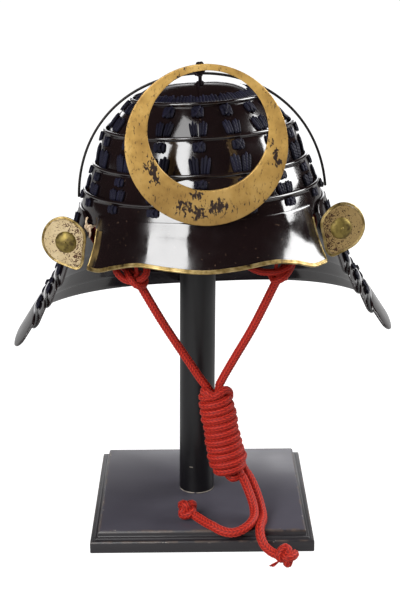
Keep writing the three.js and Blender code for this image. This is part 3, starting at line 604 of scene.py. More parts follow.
ring_walls = []
for i, (lip, top) in enumerate(RING_LIPS):
    start, foot = ring_ends(i)
    wall = []
    for t in np.linspace(0, 1, 13):
        swell = RING_BULGE[i] * math.sin(math.pi * t)
        wall.append((start[0] + (foot[0] - start[0]) * t + swell, start[1] + (foot[1] - start[1]) * t))
    ring_walls.append(wall)
    bead = [(lip + out, top + up) for out, up in BEAD]
    inner = [(r - WALL, z) for r, z in wall[::-3]]
    ring = spun(f"bowl_hoop_{i + 1}", bead + wall + inner, steps=144, deep=BOWL_DEEP)
    set_on_helmet(ring, black_lacquer, 50)
    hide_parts(f"bowl_ring_{i + 1}")

# Bowl lacing: flat silk braid, blue-black. At each of sixteen places it shows as a crossed knot under one
# bead, and as two fanned bundles that dive behind the next.
navy_silk, shader = new_finish(
    "navy_flat_silk_braid", Roughness=0.6, Specular_IOR_Level=0.2, Sheen_Weight=0.12, Sheen_Roughness=0.35,
    Sheen_Tint=linear("#5a5a90"))
# Each lace's colour is a random tone of its own times painted shade, darker on its inner face and at its
# sides.
lace_tone_and_shade = add_node(navy_silk, "Attribute", attribute_name="lace_tone_and_shade")
silk_ramp = add_node(
    navy_silk, "ValToRGB", {"Fac": lace_tone_and_shade.outputs["Fac"]}, stops=[(0, "#05050c"), (1, "#141329")])
place = add_node(navy_silk, "TexCoord").outputs["Object"]
# The plait's ribs are 0.9 mm apart
plait_place = add_node(navy_silk, "Mapping", {"Vector": place, "Rotation": (0.6, 0.8, 0.5)})
plait = add_node(navy_silk, "TexWave", {
    "Vector": plait_place, "Scale": 175.0, "Distortion": 1.5, "Detail": 2.0})
bump = add_node(navy_silk, "Bump", {"Strength": 0.55, "Distance": 0.0005, "Height": plait.outputs["Fac"]})
fill(shader, {"Base Color": silk_ramp, "Normal": bump})

# One lace: a ball squared off across and drawn out along, with a few dozen faces
bpy.ops.mesh.primitive_uv_sphere_add(segments=8, ring_count=6, radius=1)
lace_ball = bpy.context.object
LACE_POINTS = np.array([v.co[:] for v in lace_ball.data.vertices])
LACE_FACES = [tuple(face.vertices) for face in lace_ball.data.polygons]
bpy.data.objects.remove(lace_ball)
LACE_POINTS = np.sign(LACE_POINTS) * np.abs(LACE_POINTS) ** np.array((0.75, 0.8, 0.62))


def on_shell(shell, angle, u, z, out):
    """Points round a shell of (half width, half depth, height) rows: u along it and out from it."""
    rows = sorted(shell, key=lambda row: row[2])
    heights = [row[2] for row in rows]
    a = np.interp(z, heights, [row[0] for row in rows])
    b = np.interp(z, heights, [row[1] for row in rows])
    slope = np.interp(z + 0.5, heights, [row[0] for row in rows]) - np.interp(
        z - 0.5, heights, [row[0] for row in rows])
    lean = np.arctan(-slope)
    turn = np.radians(angle) + u / a
    away = out * np.cos(lean)
    return np.stack([(a + away) * np.sin(turn), -(b + away) * np.cos(turn), z + out * np.sin(lean)], 1)


# The neck guard's plan squares off from its top to its foot, and it hangs plumb from the tilted bowl.
SQUARE_TOP, SQUARE_TALL, SQUARE_BY = -2, 128, 0.1
PLUMB_TOP, PLUMB_BY = -12, 0.045


def hang_plumb(points):
    """Squares the neck guard's plan towards its foot, and shifts it sideways so that it hangs plumb."""
    x, y, z = points.T
    grow = 1 + SQUARE_BY * np.clip((SQUARE_TOP - z) / SQUARE_TALL, 0, 1) * np.sin(2 * np.arctan2(x, y)) ** 2
    return np.stack([x * grow + PLUMB_BY * np.minimum(z - PLUMB_TOP, 0), y * grow, z], 1)


def lay_laces(name, shell, laces, hangs=False):
    """One piece of many laces: each has angle, place along, height, width, length, thickness and lean."""
    rng = np.random.default_rng(len(laces) + len(name))
    shapes = []
    for angle, u, z, width, length, thick, lean, out in laces:
        ball = LACE_POINTS * (width / 2, thick / 2, length / 2)
        along = u + ball[:, 0] + lean * ball[:, 2]
        shape = on_shell(shell, angle, along, z + ball[:, 2], out + ball[:, 1])
        # Painted shade: darker on the face towards the plate and towards the lace's side edges; the random
        # factor is the lace's own tone.
        shade = 0.30 + 0.5 * (ball[:, 1] / thick + 0.5) * (1 - 0.5 * np.abs(LACE_POINTS[:, 0]))
        shapes.append((hang_plumb(shape) if hangs else shape, LACE_FACES, shade * rng.uniform(0.6, 1.25)))
    return mesh_piece(name, shapes, navy_silk, "lace_tone_and_shade", on_helmet=True)


def knot_laces(angle, low, high, wide):
    """The crossed knot: three upright laces with two slanted ones over them."""
    middle, tall = (low + high) / 2, high - low
    laces = [(angle, u * wide, middle, wide * 0.36, tall * h, 2.6, 0, 1.2)
             for u, h in ((-0.34, 0.86), (0, 1), (0.34, 0.86))]
    laces += [(angle, 0, middle + lift, wide * 0.3, tall * 0.94, 1.7, lean, 2.6)
              for lean, lift in ((0.62, 0.3), (-0.62, -0.3))]
    return laces


def fan_laces(angle, low, high, wide):
    """Two bundles of three laces that spread towards the bead below."""
    middle, tall = (low + high) / 2, high - low
    laces = []
    for side in (-1, 1):
        for step, short in ((0.12, 0.9), (0.27, 1.0), (0.42, 0.88)):
            lean = side * (0.02 + step * 0.34)
            laces.append((angle, side * step * wide, middle - tall * (1 - short) / 2, wide * 0.175,
                          tall * short, 3.0, lean, 1.4))
    return laces


KNOT_ROWS = [(84.2, 93.4, 11), (56.6, 66.0, 11.5), (25.4, 33.4, 11.5), (2.2, 10.2, 11.5)]
FAN_ROWS = [(69.6, 81.6, 15.5), (36.9, 54.2, 18.5), (13.0, 23.9, 18)]
LACE_STEP = 22.5
crown_shell = [(r, r * BOWL_DEEP, z) for r, z in crown_outer[3:]]
CROWN_LACES = 112
crown_laces = []
for i in range(CROWN_LACES):
    wave = 0.8 * math.sin(i * 2.1) + (1.2 if i % 7 == 0 else 0)
    angle = i * 360 / CROWN_LACES
    crown_laces.append((angle, 0, 97.4 - wave * 0.3, 3.2, 7.6 - wave, 2.0, 0.1 * math.sin(i), 1.2))
crown_row = lay_laces("crown_lacing", crown_shell, crown_laces)
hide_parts("crown_braid")
for i, wall in enumerate(ring_walls):
    shell = [(r, r * BOWL_DEEP, z) for r, z in wall]
    laces = []
    for angle in np.arange(0, 360, LACE_STEP):
        laces += knot_laces(angle, *KNOT_ROWS[i])
        if i < 3:
            laces += fan_laces(angle, *FAN_ROWS[i])
    row = lay_laces(f"bowl_lacing_{i + 1}", shell, laces)
    if i < 3:
        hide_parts(f"bowl_braid_{i + 1}")


# Peak: one plate of lacquered iron riveted to the lowest ring, flared over the brow, with its lower edge
# cut in shallow waves.
def curved_plate(name, across, up, place_at, thick, material):
    """A grid of points set by share along and share up, given a wall and softened edges."""
    bpy.ops.mesh.primitive_grid_add(x_subdivisions=across, y_subdivisions=up, size=2)
    piece = bpy.context.object
    for vertex in piece.data.vertices:
        vertex.co = Vector(place_at((vertex.co.x + 1) / 2, (vertex.co.y + 1) / 2)) * MM
    piece = named(name)
    bpy.ops.object.mode_set(mode="EDIT")
    bpy.ops.mesh.select_all(action="SELECT")
    bpy.ops.mesh.normals_make_consistent(inside=False)
    bpy.ops.object.mode_set(mode="OBJECT")
    middle = piece.data.polygons[len(piece.data.polygons) // 2]
    outward = middle.normal.x * middle.center.x + middle.normal.y * middle.center.y
    if outward < 0:
        piece.data.flip_normals()
    apply_modifier(piece, "SOLIDIFY", thickness=thick * MM, offset=-1, use_even_offset=True)
    bevel(piece, 0.3 * thick)
    set_on_helmet(piece, material, 50)
    return piece


def plain_tube(route, radius, sides=12, closed=False):
    """Vertices and faces of a smooth round bead along a route."""
    tangents = np.gradient(route, axis=0)
    if closed:
        tangents = np.roll(route, -1, axis=0) - np.roll(route, 1, axis=0)
    tangents = tangents / np.linalg.norm(tangents, axis=1)[:, None]
    return sweep(route, tangents, np.full((len(route), sides), float(radius)), closed)


PEAK_EDGE = [
    (-54.5, -51), (-47, -50.5), (-38, -45), (-27, -40), (-13, -43), (0, -46), (13, -45), (27, -43),
    (38, -47.5), (49, -55.5), (58.5, -56),
]
PEAK_TOP, PEAK_KNEE, PEAK_FOOT = (118.0, 128.2, -1.1), (120.2, 130.8, -12), (134.5, 140.5)
KNEE_UP, PEAK_HOLLOW, EDGE_BEAD = 0.8, 1.5, 1.2
edge_line = smooth_route([(angle, 0, z) for angle, z in PEAK_EDGE], 0.5)


def peak_edge(angle):
    return float(np.interp(angle, edge_line[:, 0], edge_line[:, 2]))


def peak_point(along, up, out=0.0):
    """A point of the peak's outer face: it leaves the bowl, then flares in a shallow hollow."""
    angle = PEAK_EDGE[0][0] + (PEAK_EDGE[-1][0] - PEAK_EDGE[0][0]) * along
    low = peak_edge(angle) + EDGE_BEAD
    if up > KNEE_UP:
        t = (1 - up) / (1 - KNEE_UP)
        a, b, z = [PEAK_TOP[k] + (PEAK_KNEE[k] - PEAK_TOP[k]) * t for k in range(3)]
    else:
        t = (KNEE_UP - up) / KNEE_UP
        hollow = PEAK_HOLLOW * math.sin(math.pi * t)
        a, b = [PEAK_KNEE[k] + (PEAK_FOOT[k] - PEAK_KNEE[k]) * t - hollow for k in (0, 1)]
        z = PEAK_KNEE[2] + (low - PEAK_KNEE[2]) * t
    turn = math.radians(angle)
    return ((a + out) * math.sin(turn), -(b + out) * math.cos(turn), z)


peak = curved_plate("peak_plate", 120, 24, peak_point, 1.8, black_lacquer)
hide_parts("visor_plate")

# Gilt edging of the peak: a copper strip folded over the edge and tooled with two lines, its gold worn
# thin at the corners.
gilt_copper, shader = new_finish("worn_gilt_copper", Metallic=0.85, Roughness=0.38)
place = add_node(gilt_copper, "TexCoord").outputs["Object"]
wear = add_node(gilt_copper, "TexNoise", {"Vector": place, "Scale": 120.0, "Detail": 5.0})
gilt_ramp = add_node(
    gilt_copper, "ValToRGB", {"Fac": wear}, stops=[(0.3, "#3c3020"), (0.62, "#c4ad78"), (0.44, "#97804c")])
bump = add_node(gilt_copper, "Bump", {"Strength": 0.2, "Distance": 0.0003, "Height": wear})
fill(shader, {"Base Color": gilt_ramp, "Normal": bump})


def peak_line(up_mm, out, shares):
    """A line that runs along the peak, some millimetres above its edge and out from its face."""
    line = []
    for share in shares:
        foot, above = np.array(peak_point(share, 0)), np.array(peak_point(share, 0.1))
        rise = (above - foot) / np.linalg.norm(above - foot)
        turn = math.atan2(foot[0], -foot[1])
        line.append(foot + rise * up_mm + out * np.array((math.sin(turn), -math.cos(turn), 0.35)))
    return np.array(line)


shares = np.linspace(0.004, 0.996, 150)
edging = [
    plain_tube(peak_line(0.1, -0.5, shares), 1.2),
    plain_tube(peak_line(2.2, 0.15, shares), 0.7),
    plain_tube(peak_line(1.3, -0.1, shares), 0.8),
]
for share in (0.004, 0.996):
    side_line = np.array([peak_point(share, up, 0.1) for up in np.linspace(0.02, 0.78, 20)])
    edging.append(plain_tube(side_line, 0.8))
peak_edging = mesh_piece("peak_edging", edging, gilt_copper, on_helmet=True)
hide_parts("visor_rim")
dark_gilt, shader = new_finish("gilding_worn_to_copper", Metallic=0.6, Roughness=0.45)
place = add_node(dark_gilt, "TexCoord").outputs["Object"]
rub = add_node(dark_gilt, "TexNoise", {"Vector": place, "Scale": 90.0, "Detail": 5.0})
rub_ramp = add_node(dark_gilt, "ValToRGB", {"Fac": rub}, stops=[(0.4, "#2a2019"), (0.68, "#8a7448")])
fill(shader, {"Base Color": rub_ramp})
curved_plate(
    "peak_side_band", 6, 30, lambda s, t: peak_point(0.006 + 0.035 * s, 0.03 + 0.72 * t, 0.45), 0.4,
    dark_gilt)

# Neck guard: five lames of lacquered iron, each laced below and outside the last, with rounded front ends.
LAMES = [
    {"top": -2, "bottom": -50, "side": 132, "back": 138, "from": 63.5, "to": 297},
    {"top": -43, "bottom": -77, "side": 144, "back": 146, "from": 67, "to": 293},
    {"top": -68, "bottom": -95, "side": 155.5, "back": 153.5, "from": 67, "to": 293},
    {"top": -85.5, "bottom": -114, "side": 168, "back": 161, "from": 67, "to": 293},
    {"top": -99, "bottom": -130, "side": 185, "back": 171, "from": 67, "to": 293},
]
BOWL_FOOT = (118.8, 129.3)
LAME_STEP = 3.7
lame_shells = []
for i, lame in enumerate(LAMES):
    low_row = (lame["side"], lame["back"], lame["bottom"])
    if i == 0:
        high_row = (*BOWL_FOOT, lame["top"])
    else:
        above_top, above_low = lame_shells[-1]
        share = (lame["top"] - above_top[2]) / (above_low[2] - above_top[2])
        high_row = tuple(above_top[k] + (above_low[k] - above_top[k]) * share + LAME_STEP for k in (0, 1))
        high_row += (lame["top"],)
    lame_shells.append((high_row, low_row))


def lame_point(i, along, up, out=0.0):
    """A point of a lame's outer face, with its front corners rounded."""
    lame, (high_row, low_row) = LAMES[i], lame_shells[i]
    eased = along - math.sin(2 * math.pi * along) / (2 * math.pi) * 0.75
    angle = lame["from"] + (lame["to"] - lame["from"]) * eased
    inset = max(min(angle - lame["from"], lame["to"] - angle, 9) / 9, 0)
    rounding = 1 - math.sqrt(max(1 - (1 - inset) ** 2, 0))
    tall = lame["top"] - lame["bottom"]
    low = lame["bottom"] + 0.4 * tall * rounding
    high = lame["top"] - 0.2 * tall * rounding
    z = low + (high - low) * up
    share = (z - high_row[2]) / (low_row[2] - high_row[2])
    a = high_row[0] + (low_row[0] - high_row[0]) * share + out
    b = high_row[1] + (low_row[1] - high_row[1]) * share + out
    turn = math.radians(angle)
    return hang_plumb(np.array([[a * math.sin(turn), -b * math.cos(turn), z]]))[0]


for i in range(len(LAMES)):
    lame_plate = curved_plate(
        f"neck_plate_{i + 1}", 150, 8, lambda s, t, i=i: lame_point(i, s, t), 1.8, black_lacquer)
    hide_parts(f"neck_lame_{i + 1}")

# Neck lacing: the same navy braid as on the bowl, in ten columns from lame to lame.
neck_angles = [180 + (i - 4.5) * LACE_STEP for i in range(10)]
NECK_ROWS = [(-41.5, -23, -19, -6.5), (-66.5, -54, -51.8, -44.5), (-84, -75.6, -74.2, -69.4),
             (-98, -91.8, -91, -86.4)]
for i, (fan_low, fan_high, knot_low, knot_high) in enumerate(NECK_ROWS):
    laces = []
    for angle in neck_angles:
        laces += fan_laces(angle, fan_low, fan_high, 17)
        laces += knot_laces(angle, knot_low, knot_high, 11)
    row = lay_laces(f"neck_lacing_{i + 1}", lame_shells[i], laces, hangs=True)
    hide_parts(f"neck_braid_{i + 1}")


# Turned-back ends: each front end of the top lame is folded out to the side, cut to a teardrop, covered in
# printed deerskin inside a gilt edge, and set with a domed brass boss.
def closed_line(points, count=96):
    """A closed smooth line through (u, v) points, evenly spaced."""
    once = np.array([(u, v, 0) for u, v in points], float)
    thrice = smooth_route(np.concatenate([once, once, once, once[:1]]), 0.2)
    far = np.linalg.norm(thrice - once[0], axis=1)
    third = len(thrice) // 3
    first = third - third // 4 + int(np.argmin(far[third - third // 4:third + third // 4]))
    last = 2 * third - third // 4 + int(np.argmin(far[2 * third - third // 4:2 * third + third // 4]))
    pick_at = np.linspace(first, last, count, endpoint=False)
    return np.stack([np.interp(pick_at, np.arange(len(thrice)), thrice[:, k]) for k in (0, 1)], 1)


TEARDROP = [
    (20.9, 0.9), (17.8, 12.5), (9.5, 21.2), (-2, 24), (-13.5, 18.8), (-21.5, 8), (-19.8, -8), (-16.6, -22.5),
    (-11.8, -26.4), (-1.5, -23.2), (11.5, -17), (18.6, -8),
]
TURN_BACKS = {"left": (-1, (-130.5, -66, -26.5), 6.8), "right": (1, (131, -62, -26), 3.3)}
teardrop = closed_line(TEARDROP)

# Printed deerskin: beige with brown specks, thick along the inner edge, on a suede nap
printed_leather, shader = new_finish(
    "printed_deerskin", Roughness=0.75, Specular_IOR_Level=0.3, Sheen_Weight=0.1)
print_at = add_node(printed_leather, "Attribute", attribute_name="inner")
place = add_node(printed_leather, "TexCoord").outputs["Object"]
stain = add_node(printed_leather, "TexNoise", {"Vector": place, "Scale": 70.0, "Detail": 5.0})
skin_tone = add_node(printed_leather, "Mix", {
    0: stain, 6: linear("#cfbd98"), 7: linear("#a38c61")}, data_type="RGBA")
blots = add_node(printed_leather, "TexNoise", {
    "Vector": place, "Scale": 520.0, "Detail": 2.0, "Distortion": 1.2})
limit = add_node(printed_leather, "MapRange", {
    "Value": print_at.outputs["Fac"], "From Min": 0.0, "From Max": 1.0, "To Min": 0.62, "To Max": 0.49})
over = add_node(printed_leather, "Math", {0: blots, 1: limit}, operation="SUBTRACT")
blot_mask = add_node(printed_leather, "MapRange", {"Value": over, "From Min": 0.0, "From Max": 0.035})
skin = add_node(printed_leather, "Mix", {
    0: blot_mask, 6: skin_tone.outputs[2], 7: linear("#4b2f1e")}, data_type="RGBA")
# The right-hand skin is coloured darker than the left.
across = add_node(printed_leather, "SeparateXYZ", {"Vector": place})
on_right = add_node(printed_leather, "Math", {0: across.outputs["X"], 1: 0.0}, operation="GREATER_THAN")
right_skin_darker = add_node(printed_leather, "Mix", {0: on_right, 6: (1, 1, 1, 1), 7: linear("#c9bc9c")},
                data_type="RGBA")
toned = add_node(printed_leather, "Mix", {0: 1.0, 6: skin.outputs[2], 7: right_skin_darker.outputs[2]},
                 data_type="RGBA", blend_type="MULTIPLY")
nap = add_node(printed_leather, "TexNoise", {"Vector": place, "Scale": 900.0, "Detail": 3.0})
bump = add_node(printed_leather, "Bump", {"Strength": 0.3, "Distance": 0.0003, "Height": nap})
fill(shader, {"Base Color": toned.outputs[2], "Normal": bump})

# Old brass of the boss, gone olive, with a blotchy brown bloom
old_brass, shader = new_finish("dulled_boss_brass", Metallic=0.75, Roughness=0.5)
place = add_node(old_brass, "TexCoord").outputs["Object"]
bloom = add_node(old_brass, "TexNoise", {"Vector": place, "Scale": 170.0, "Detail": 6.0})
brass_ramp = add_node(old_brass, "ValToRGB", {"Fac": bloom}, stops=[(0.33, "#4c3d20"), (0.58, "#8b7a40")])
bump = add_node(old_brass, "Bump", {"Strength": 0.35, "Distance": 0.0004, "Height": bloom})
fill(shader, {"Base Color": brass_ramp, "Normal": bump})


def turned_sheet(name, side, place_at, share, front, back, material, swell=0.0):
    """A sheet cut to the teardrop, between two depths, with a soft edge and a crowned face."""
    bpy.ops.mesh.primitive_circle_add(vertices=len(teardrop), radius=1, fill_type="NOTHING")
    piece = bpy.context.object
    outline = teardrop * share
    for vertex in piece.data.vertices:
        u, v = outline[vertex.index]
        vertex.co = Vector((side * u, 0, v)) * MM
    bpy.ops.object.mode_set(mode="EDIT")
    bpy.ops.mesh.select_all(action="SELECT")
    middle = (-side * 1.5 * MM, 0, -2 * MM)
    for shrink in (0.97, 0.92, 0.86, 0.8, 0.7, 0.5, 0.3):
        bpy.ops.mesh.extrude_edges_move()
        bpy.ops.transform.resize(value=(shrink, shrink, shrink), center_override=middle)
    bpy.ops.mesh.merge(type="CENTER")
    bpy.ops.object.mode_set(mode="OBJECT")
    for vertex in piece.data.vertices:
        near = np.linalg.norm(outline - np.array((side * vertex.co.x, vertex.co.z)) / MM, axis=1).min()
        vertex.co.y = (front - swell * min(near / 9, 1) ** 0.5) * MM
    piece = named(name)
    if piece.data.polygons[0].normal.y > 0:
        piece.data.flip_normals()
    apply_modifier(piece, "SOLIDIFY", thickness=(back - front) * MM, offset=-1)
    inner = [max(0.0, min(1.0, 0.5 - side * v.co.x / MM / 30)) ** 1.3 for v in piece.data.vertices]
    piece.data.attributes.new("inner", "FLOAT", "POINT").data.foreach_set("value", inner)
    piece.data.transform(place_at)
    set_on_helmet(piece, material, 60)
    return piece


for name, (side, spot, fold_long) in TURN_BACKS.items():
    place_at = Matrix.Translation(Vector(spot) * MM) @ Matrix.Rotation(side * math.radians(12), 4, "Z")
    backing = turned_sheet(f"turn_back_{name}", side, place_at, 0.9, 0, 2, black_lacquer)
    bpy.ops.mesh.primitive_cube_add(size=1, location=(0, 0, 0))
    fold = bpy.context.object
    fold.scale = (2.4 * MM, fold_long * MM, 14 * MM)
    fold.location = Vector((-side * 16.6, 0.8 + fold_long / 2, 1)) * MM
    fold = named(f"turn_back_fold_{name}")
    apply_modifier(fold, "BEVEL", width=0.6 * MM, segments=3)
    fold.data.transform(place_at)
    set_on_helmet(fold, black_lacquer)
    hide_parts(f"turn_back_plate_{name}")
    cover = turned_sheet(
        f"turn_back_skin_{name}", side, place_at, 0.9, -1.15, -0.3, printed_leather, swell=0.5)
    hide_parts(f"turn_back_leather_{name}")
    beads = []
    for share, depth, thick in ((0.98, -0.5, 0.85), (0.93, -0.9, 0.55), (0.955, 0.9, 1.1)):
        u, v = teardrop.T * share
        line = np.stack([side * u, np.full(len(teardrop), depth), v], 1)
        beads.append(plain_tube(line, thick, closed=True))
    edging = mesh_piece(f"turn_back_edging_{name}", beads, gilt_copper)
    edging.data.transform(HELMET_PLACE @ place_at)
    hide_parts(f"turn_back_rim_{name}")
    boss_profile = [(0, -4.4), (0.9, -4.3), (1.5, -3.9), (1.7, -3.3), (2.6, -3.1), (5, -2.75), (7.4, -2.0),
                    (9.2, -1.0), (10.0, -0.2), (10.3, 0.3), (10.2, 0.8), (0, 0.8)]
    boss = spun(f"turn_back_boss_{name}", [(r, -y) for r, y in boss_profile], steps=64)
    boss.data.transform(Matrix.Rotation(math.pi / 2, 4, "X"))
    boss.data.transform(place_at @ Matrix.Translation((-side * 2.6 * MM, -1.9 * MM, 0)))
    boss.name = f"boss_dome_{name}"
    set_on_helmet(boss, old_brass)
    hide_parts(f"turn_back_boss_{name}")

# Corner ties: a thong knotted through the peak's corner and the turned-back end, pale at the left and dark
# at the right.
thong, shader = new_finish("pale_leather_thong", Roughness=0.7, Base_Color=linear("#c9b193"))
CORNER_TIES = [
    ("left", (-103.5, -64, 313.5), 1.25, thong, "leather"),
    ("right", (115, -57, 311), 1.3, navy_silk, "braid"),
]
for name, spot, size, made_of, slot in CORNER_TIES:
    ends = [smooth_route([np.array(spot) + d for d in path], 0.6) for path in (
        [(0, 0, 0), (1.5, -1.5, -4), (0.5, -1, -9)], [(0, 0, 1), (-2, -1, 5), (-1, 1, 10)],
        [(1, 0, 0), (5, 3, 1), (9, 8, 3)])]
    tie_tubes = [plain_tube(np.array(spot) + trefoil(60, 0.8) * 1.05, size, sides=8, closed=True)]
    tie_tubes += [plain_tube(path, size * 0.85, sides=8) for path in ends]
    mesh_piece(f"corner_tie_{name}", tie_tubes, made_of)

# Hoop: a thin iron strip bent over the bowl from side to side and riveted at both feet. The crest is tied
# back to it.
black_iron, shader = new_finish("blackened_iron", Metallic=0.6, Roughness=0.42)
place = add_node(black_iron, "TexCoord").outputs["Object"]
scale_spots = add_node(black_iron, "TexNoise", {"Vector": place, "Scale": 260.0, "Detail": 5.0})
iron_ramp = add_node(black_iron, "ValToRGB", {"Fac": scale_spots}, stops=[(0, "#0b0a0c"), (1, "#2b2624")])
bump = add_node(black_iron, "Bump", {"Strength": 0.3, "Distance": 0.0003, "Height": scale_spots})
fill(shader, {"Base Color": iron_ramp, "Normal": bump})

HOOP = {"x": 0.5, "z": -3, "radius": 120, "swell": 1.8, "thick": 2.4, "deep": 4.2, "from": 3, "sweep": 174}


def hoop_point(along, up):
    """A point of the hoop's outer face, which swells a little between its feet and its top."""
    turn = math.radians(HOOP["from"] + HOOP["sweep"] * along)
    reach = HOOP["radius"] + HOOP["thick"] / 2 + HOOP["swell"] * math.sin(2 * turn) ** 2
    return (HOOP["x"] + reach * math.cos(turn), HOOP["deep"] * (up - 0.5), HOOP["z"] + reach * math.sin(turn))


hoop = curved_plate("hoop_strip", 120, 3, hoop_point, HOOP["thick"], black_iron)
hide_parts("bail")
for name, side in (("left", -1), ("right", 1)):
    low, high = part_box(f"bail_rivet_{name}")
    long = high[0] - low[0]
    rivet_line = [(0, 0), (2.0, 0), (2.6, 0.3), (2.6, long / MM - 0.3), (2.0, long / MM), (0, long / MM)]
    rivet = spun(f"hoop_rivet_{name}", rivet_line, steps=24)
    middle = [(low[k] + high[k]) / 2 for k in range(3)]
    rivet.data.transform(Matrix.Rotation(math.pi / 2, 4, "Y"))
    rivet.data.transform(Matrix.Translation((middle[0] - long / 2, middle[1], middle[2])))
    finish(rivet, black_iron)
    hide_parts(f"bail_rivet_{name}")

# Crest: a crescent moon of thin wood under gold lacquer, whose horns meet at the top. The gold has rubbed
# through in dark patches, and its left horn passes behind the right one.
gold_lacquer, shader = new_finish("rubbed_gold_lacquer", Metallic=0.35, Roughness=0.42)
place = add_node(gold_lacquer, "TexCoord").outputs["Object"]
cloud = add_node(gold_lacquer, "TexNoise", {"Vector": place, "Scale": 55.0, "Detail": 6.0})
gold_ramp = add_node(
    gold_lacquer, "ValToRGB", {"Fac": cloud}, stops=[(0.3, "#a27c3c"), (0.7, "#d6b067"), (0.5, "#c29a50")])
scuff_place = add_node(gold_lacquer, "Mapping", {
    "Vector": place, "Rotation": (0, 0.75, 0), "Scale": (1, 1, 0.5)})
scuffs = add_node(gold_lacquer, "TexNoise", {
    "Vector": scuff_place, "Scale": 520.0, "Detail": 5.0, "Distortion": 0.6})
# Where the gold is worn: (x, z, reach across, reach up) in millimetres
WORN = [
    (-41, 383, 7, 12), (-38, 376, 5, 7), (-1, 360, 7, 6), (-4, 366, 4, 3), (3, 346, 22, 6), (16, 350, 12, 7),
    (-14, 352, 8, 5), (66, 396, 4, 8), (69, 388, 6, 4), (62, 405, 3, 5), (-20, 462, 6, 3), (-2, 340, 8, 3),
]
worn_all = None
for x, z, wide, tall in WORN:
    spot = add_node(gold_lacquer, "Mapping", {
        "Vector": place, "Scale": (1 / wide / MM, 0, 1 / tall / MM),
        "Location": (-x / wide, 0, -z / tall)})
    away = add_node(gold_lacquer, "VectorMath", {0: spot}, operation="LENGTH")
    near = add_node(gold_lacquer, "MapRange", {
        "Value": away.outputs["Value"], "From Min": 1.3, "From Max": 0.25, "To Max": 0.26})
    worn_all = add_node(
        gold_lacquer, "Math", {0: worn_all, 1: near}, operation="MAXIMUM") if worn_all else near
wear_level = add_node(gold_lacquer, "Math", {0: worn_all, 1: scuffs}, operation="ADD")
wear_mask = add_node(gold_lacquer, "MapRange", {"Value": wear_level, "From Min": 0.655, "From Max": 0.70})
fine_scratch = add_node(gold_lacquer, "MapRange", {
    "Value": scuffs, "From Min": 0.56, "From Max": 0.68, "To Max": 0.5})
# The crescent is coloured darker and browner towards its foot.
height = add_node(gold_lacquer, "SeparateXYZ", {"Vector": place})
foot_brown = add_node(gold_lacquer, "MapRange", {
    "Value": height.outputs["Z"], "From Min": 0.400, "From Max": 0.338, "To Max": 0.7})
browner_to_foot = add_node(gold_lacquer, "Mix", {0: foot_brown, 6: gold_ramp, 7: linear("#80622f")}, data_type="RGBA")
scratched = add_node(gold_lacquer, "Mix", {
    0: fine_scratch, 6: browner_to_foot.outputs[2], 7: linear("#5c4020")}, data_type="RGBA")
rubbed = add_node(gold_lacquer, "Mix", {
    0: wear_mask, 6: scratched.outputs[2], 7: linear("#2a1a12")}, data_type="RGBA")
worn_gloss = add_node(gold_lacquer, "MapRange", {"Value": cloud, "To Min": 0.34, "To Max": 0.52})
worn_step = add_node(gold_lacquer, "Bump", {
    "Strength": 0.4, "Distance": 0.0004, "Height": wear_mask}, invert=True)
fill(shader, {"Base Color": rubbed.outputs[2], "Roughness": worn_gloss, "Normal": worn_step})

CREST = {"disc": (6.3, 403, 70.8), "hole": (7.7, 416, 52.3), "back": -134, "thick": 3.4}
rounds = []
for x, z, radius in (CREST["disc"], CREST["hole"]):
    bpy.ops.mesh.primitive_circle_add(
        vertices=160, radius=radius * MM, rotation=(math.pi / 2, 0, 0),
        location=(x * MM, CREST["back"] * MM, z * MM))
    bpy.ops.object.transform_apply(location=True, rotation=True, scale=True)
    rounds.append(bpy.context.object)
crest = rounds[0]
crest.select_set(True)
bpy.context.view_layer.objects.active = crest
bpy.ops.object.join()
bpy.ops.object.mode_set(mode="EDIT")
bpy.ops.mesh.select_all(action="SELECT")
bpy.ops.mesh.bridge_edge_loops(number_cuts=6, interpolation="LINEAR")
bpy.ops.object.mode_set(mode="OBJECT")
crest = named("crescent_crest")
if crest.data.polygons[0].normal.y > 0:
    crest.data.flip_normals()
apply_modifier(crest, "SOLIDIFY", thickness=CREST["thick"] * MM, offset=1)
bevel(crest, 0.9)
finish(crest, gold_lacquer)
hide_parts("crest")

# Crest holder: a small iron bracket behind the crescent's foot, riveted to the bowl.
low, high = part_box("crest_holder")
bpy.ops.mesh.primitive_cube_add(size=1, location=[(low[k] + high[k]) / 2 for k in range(3)])
bracket = bpy.context.object
bracket.scale = [(high[k] - low[k]) * 0.97 for k in range(3)]
bracket = named("crest_bracket")
bpy.ops.object.mode_set(mode="EDIT")
bpy.ops.mesh.select_mode(type="FACE")
bpy.ops.mesh.select_all(action="DESELECT")
bpy.ops.object.mode_set(mode="OBJECT")
for face in bracket.data.polygons:
    face.select = face.center.y < (low[1] + high[1]) / 2
bpy.ops.object.mode_set(mode="EDIT")
bpy.ops.mesh.inset(thickness=1.6 * MM)
bpy.ops.mesh.extrude_region_move(TRANSFORM_OT_translate={"value": (0, 0.8 * MM, 0)})
bpy.ops.object.mode_set(mode="OBJECT")
bevel(bracket, 0.7)
finish(bracket, black_iron)
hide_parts("crest_holder")

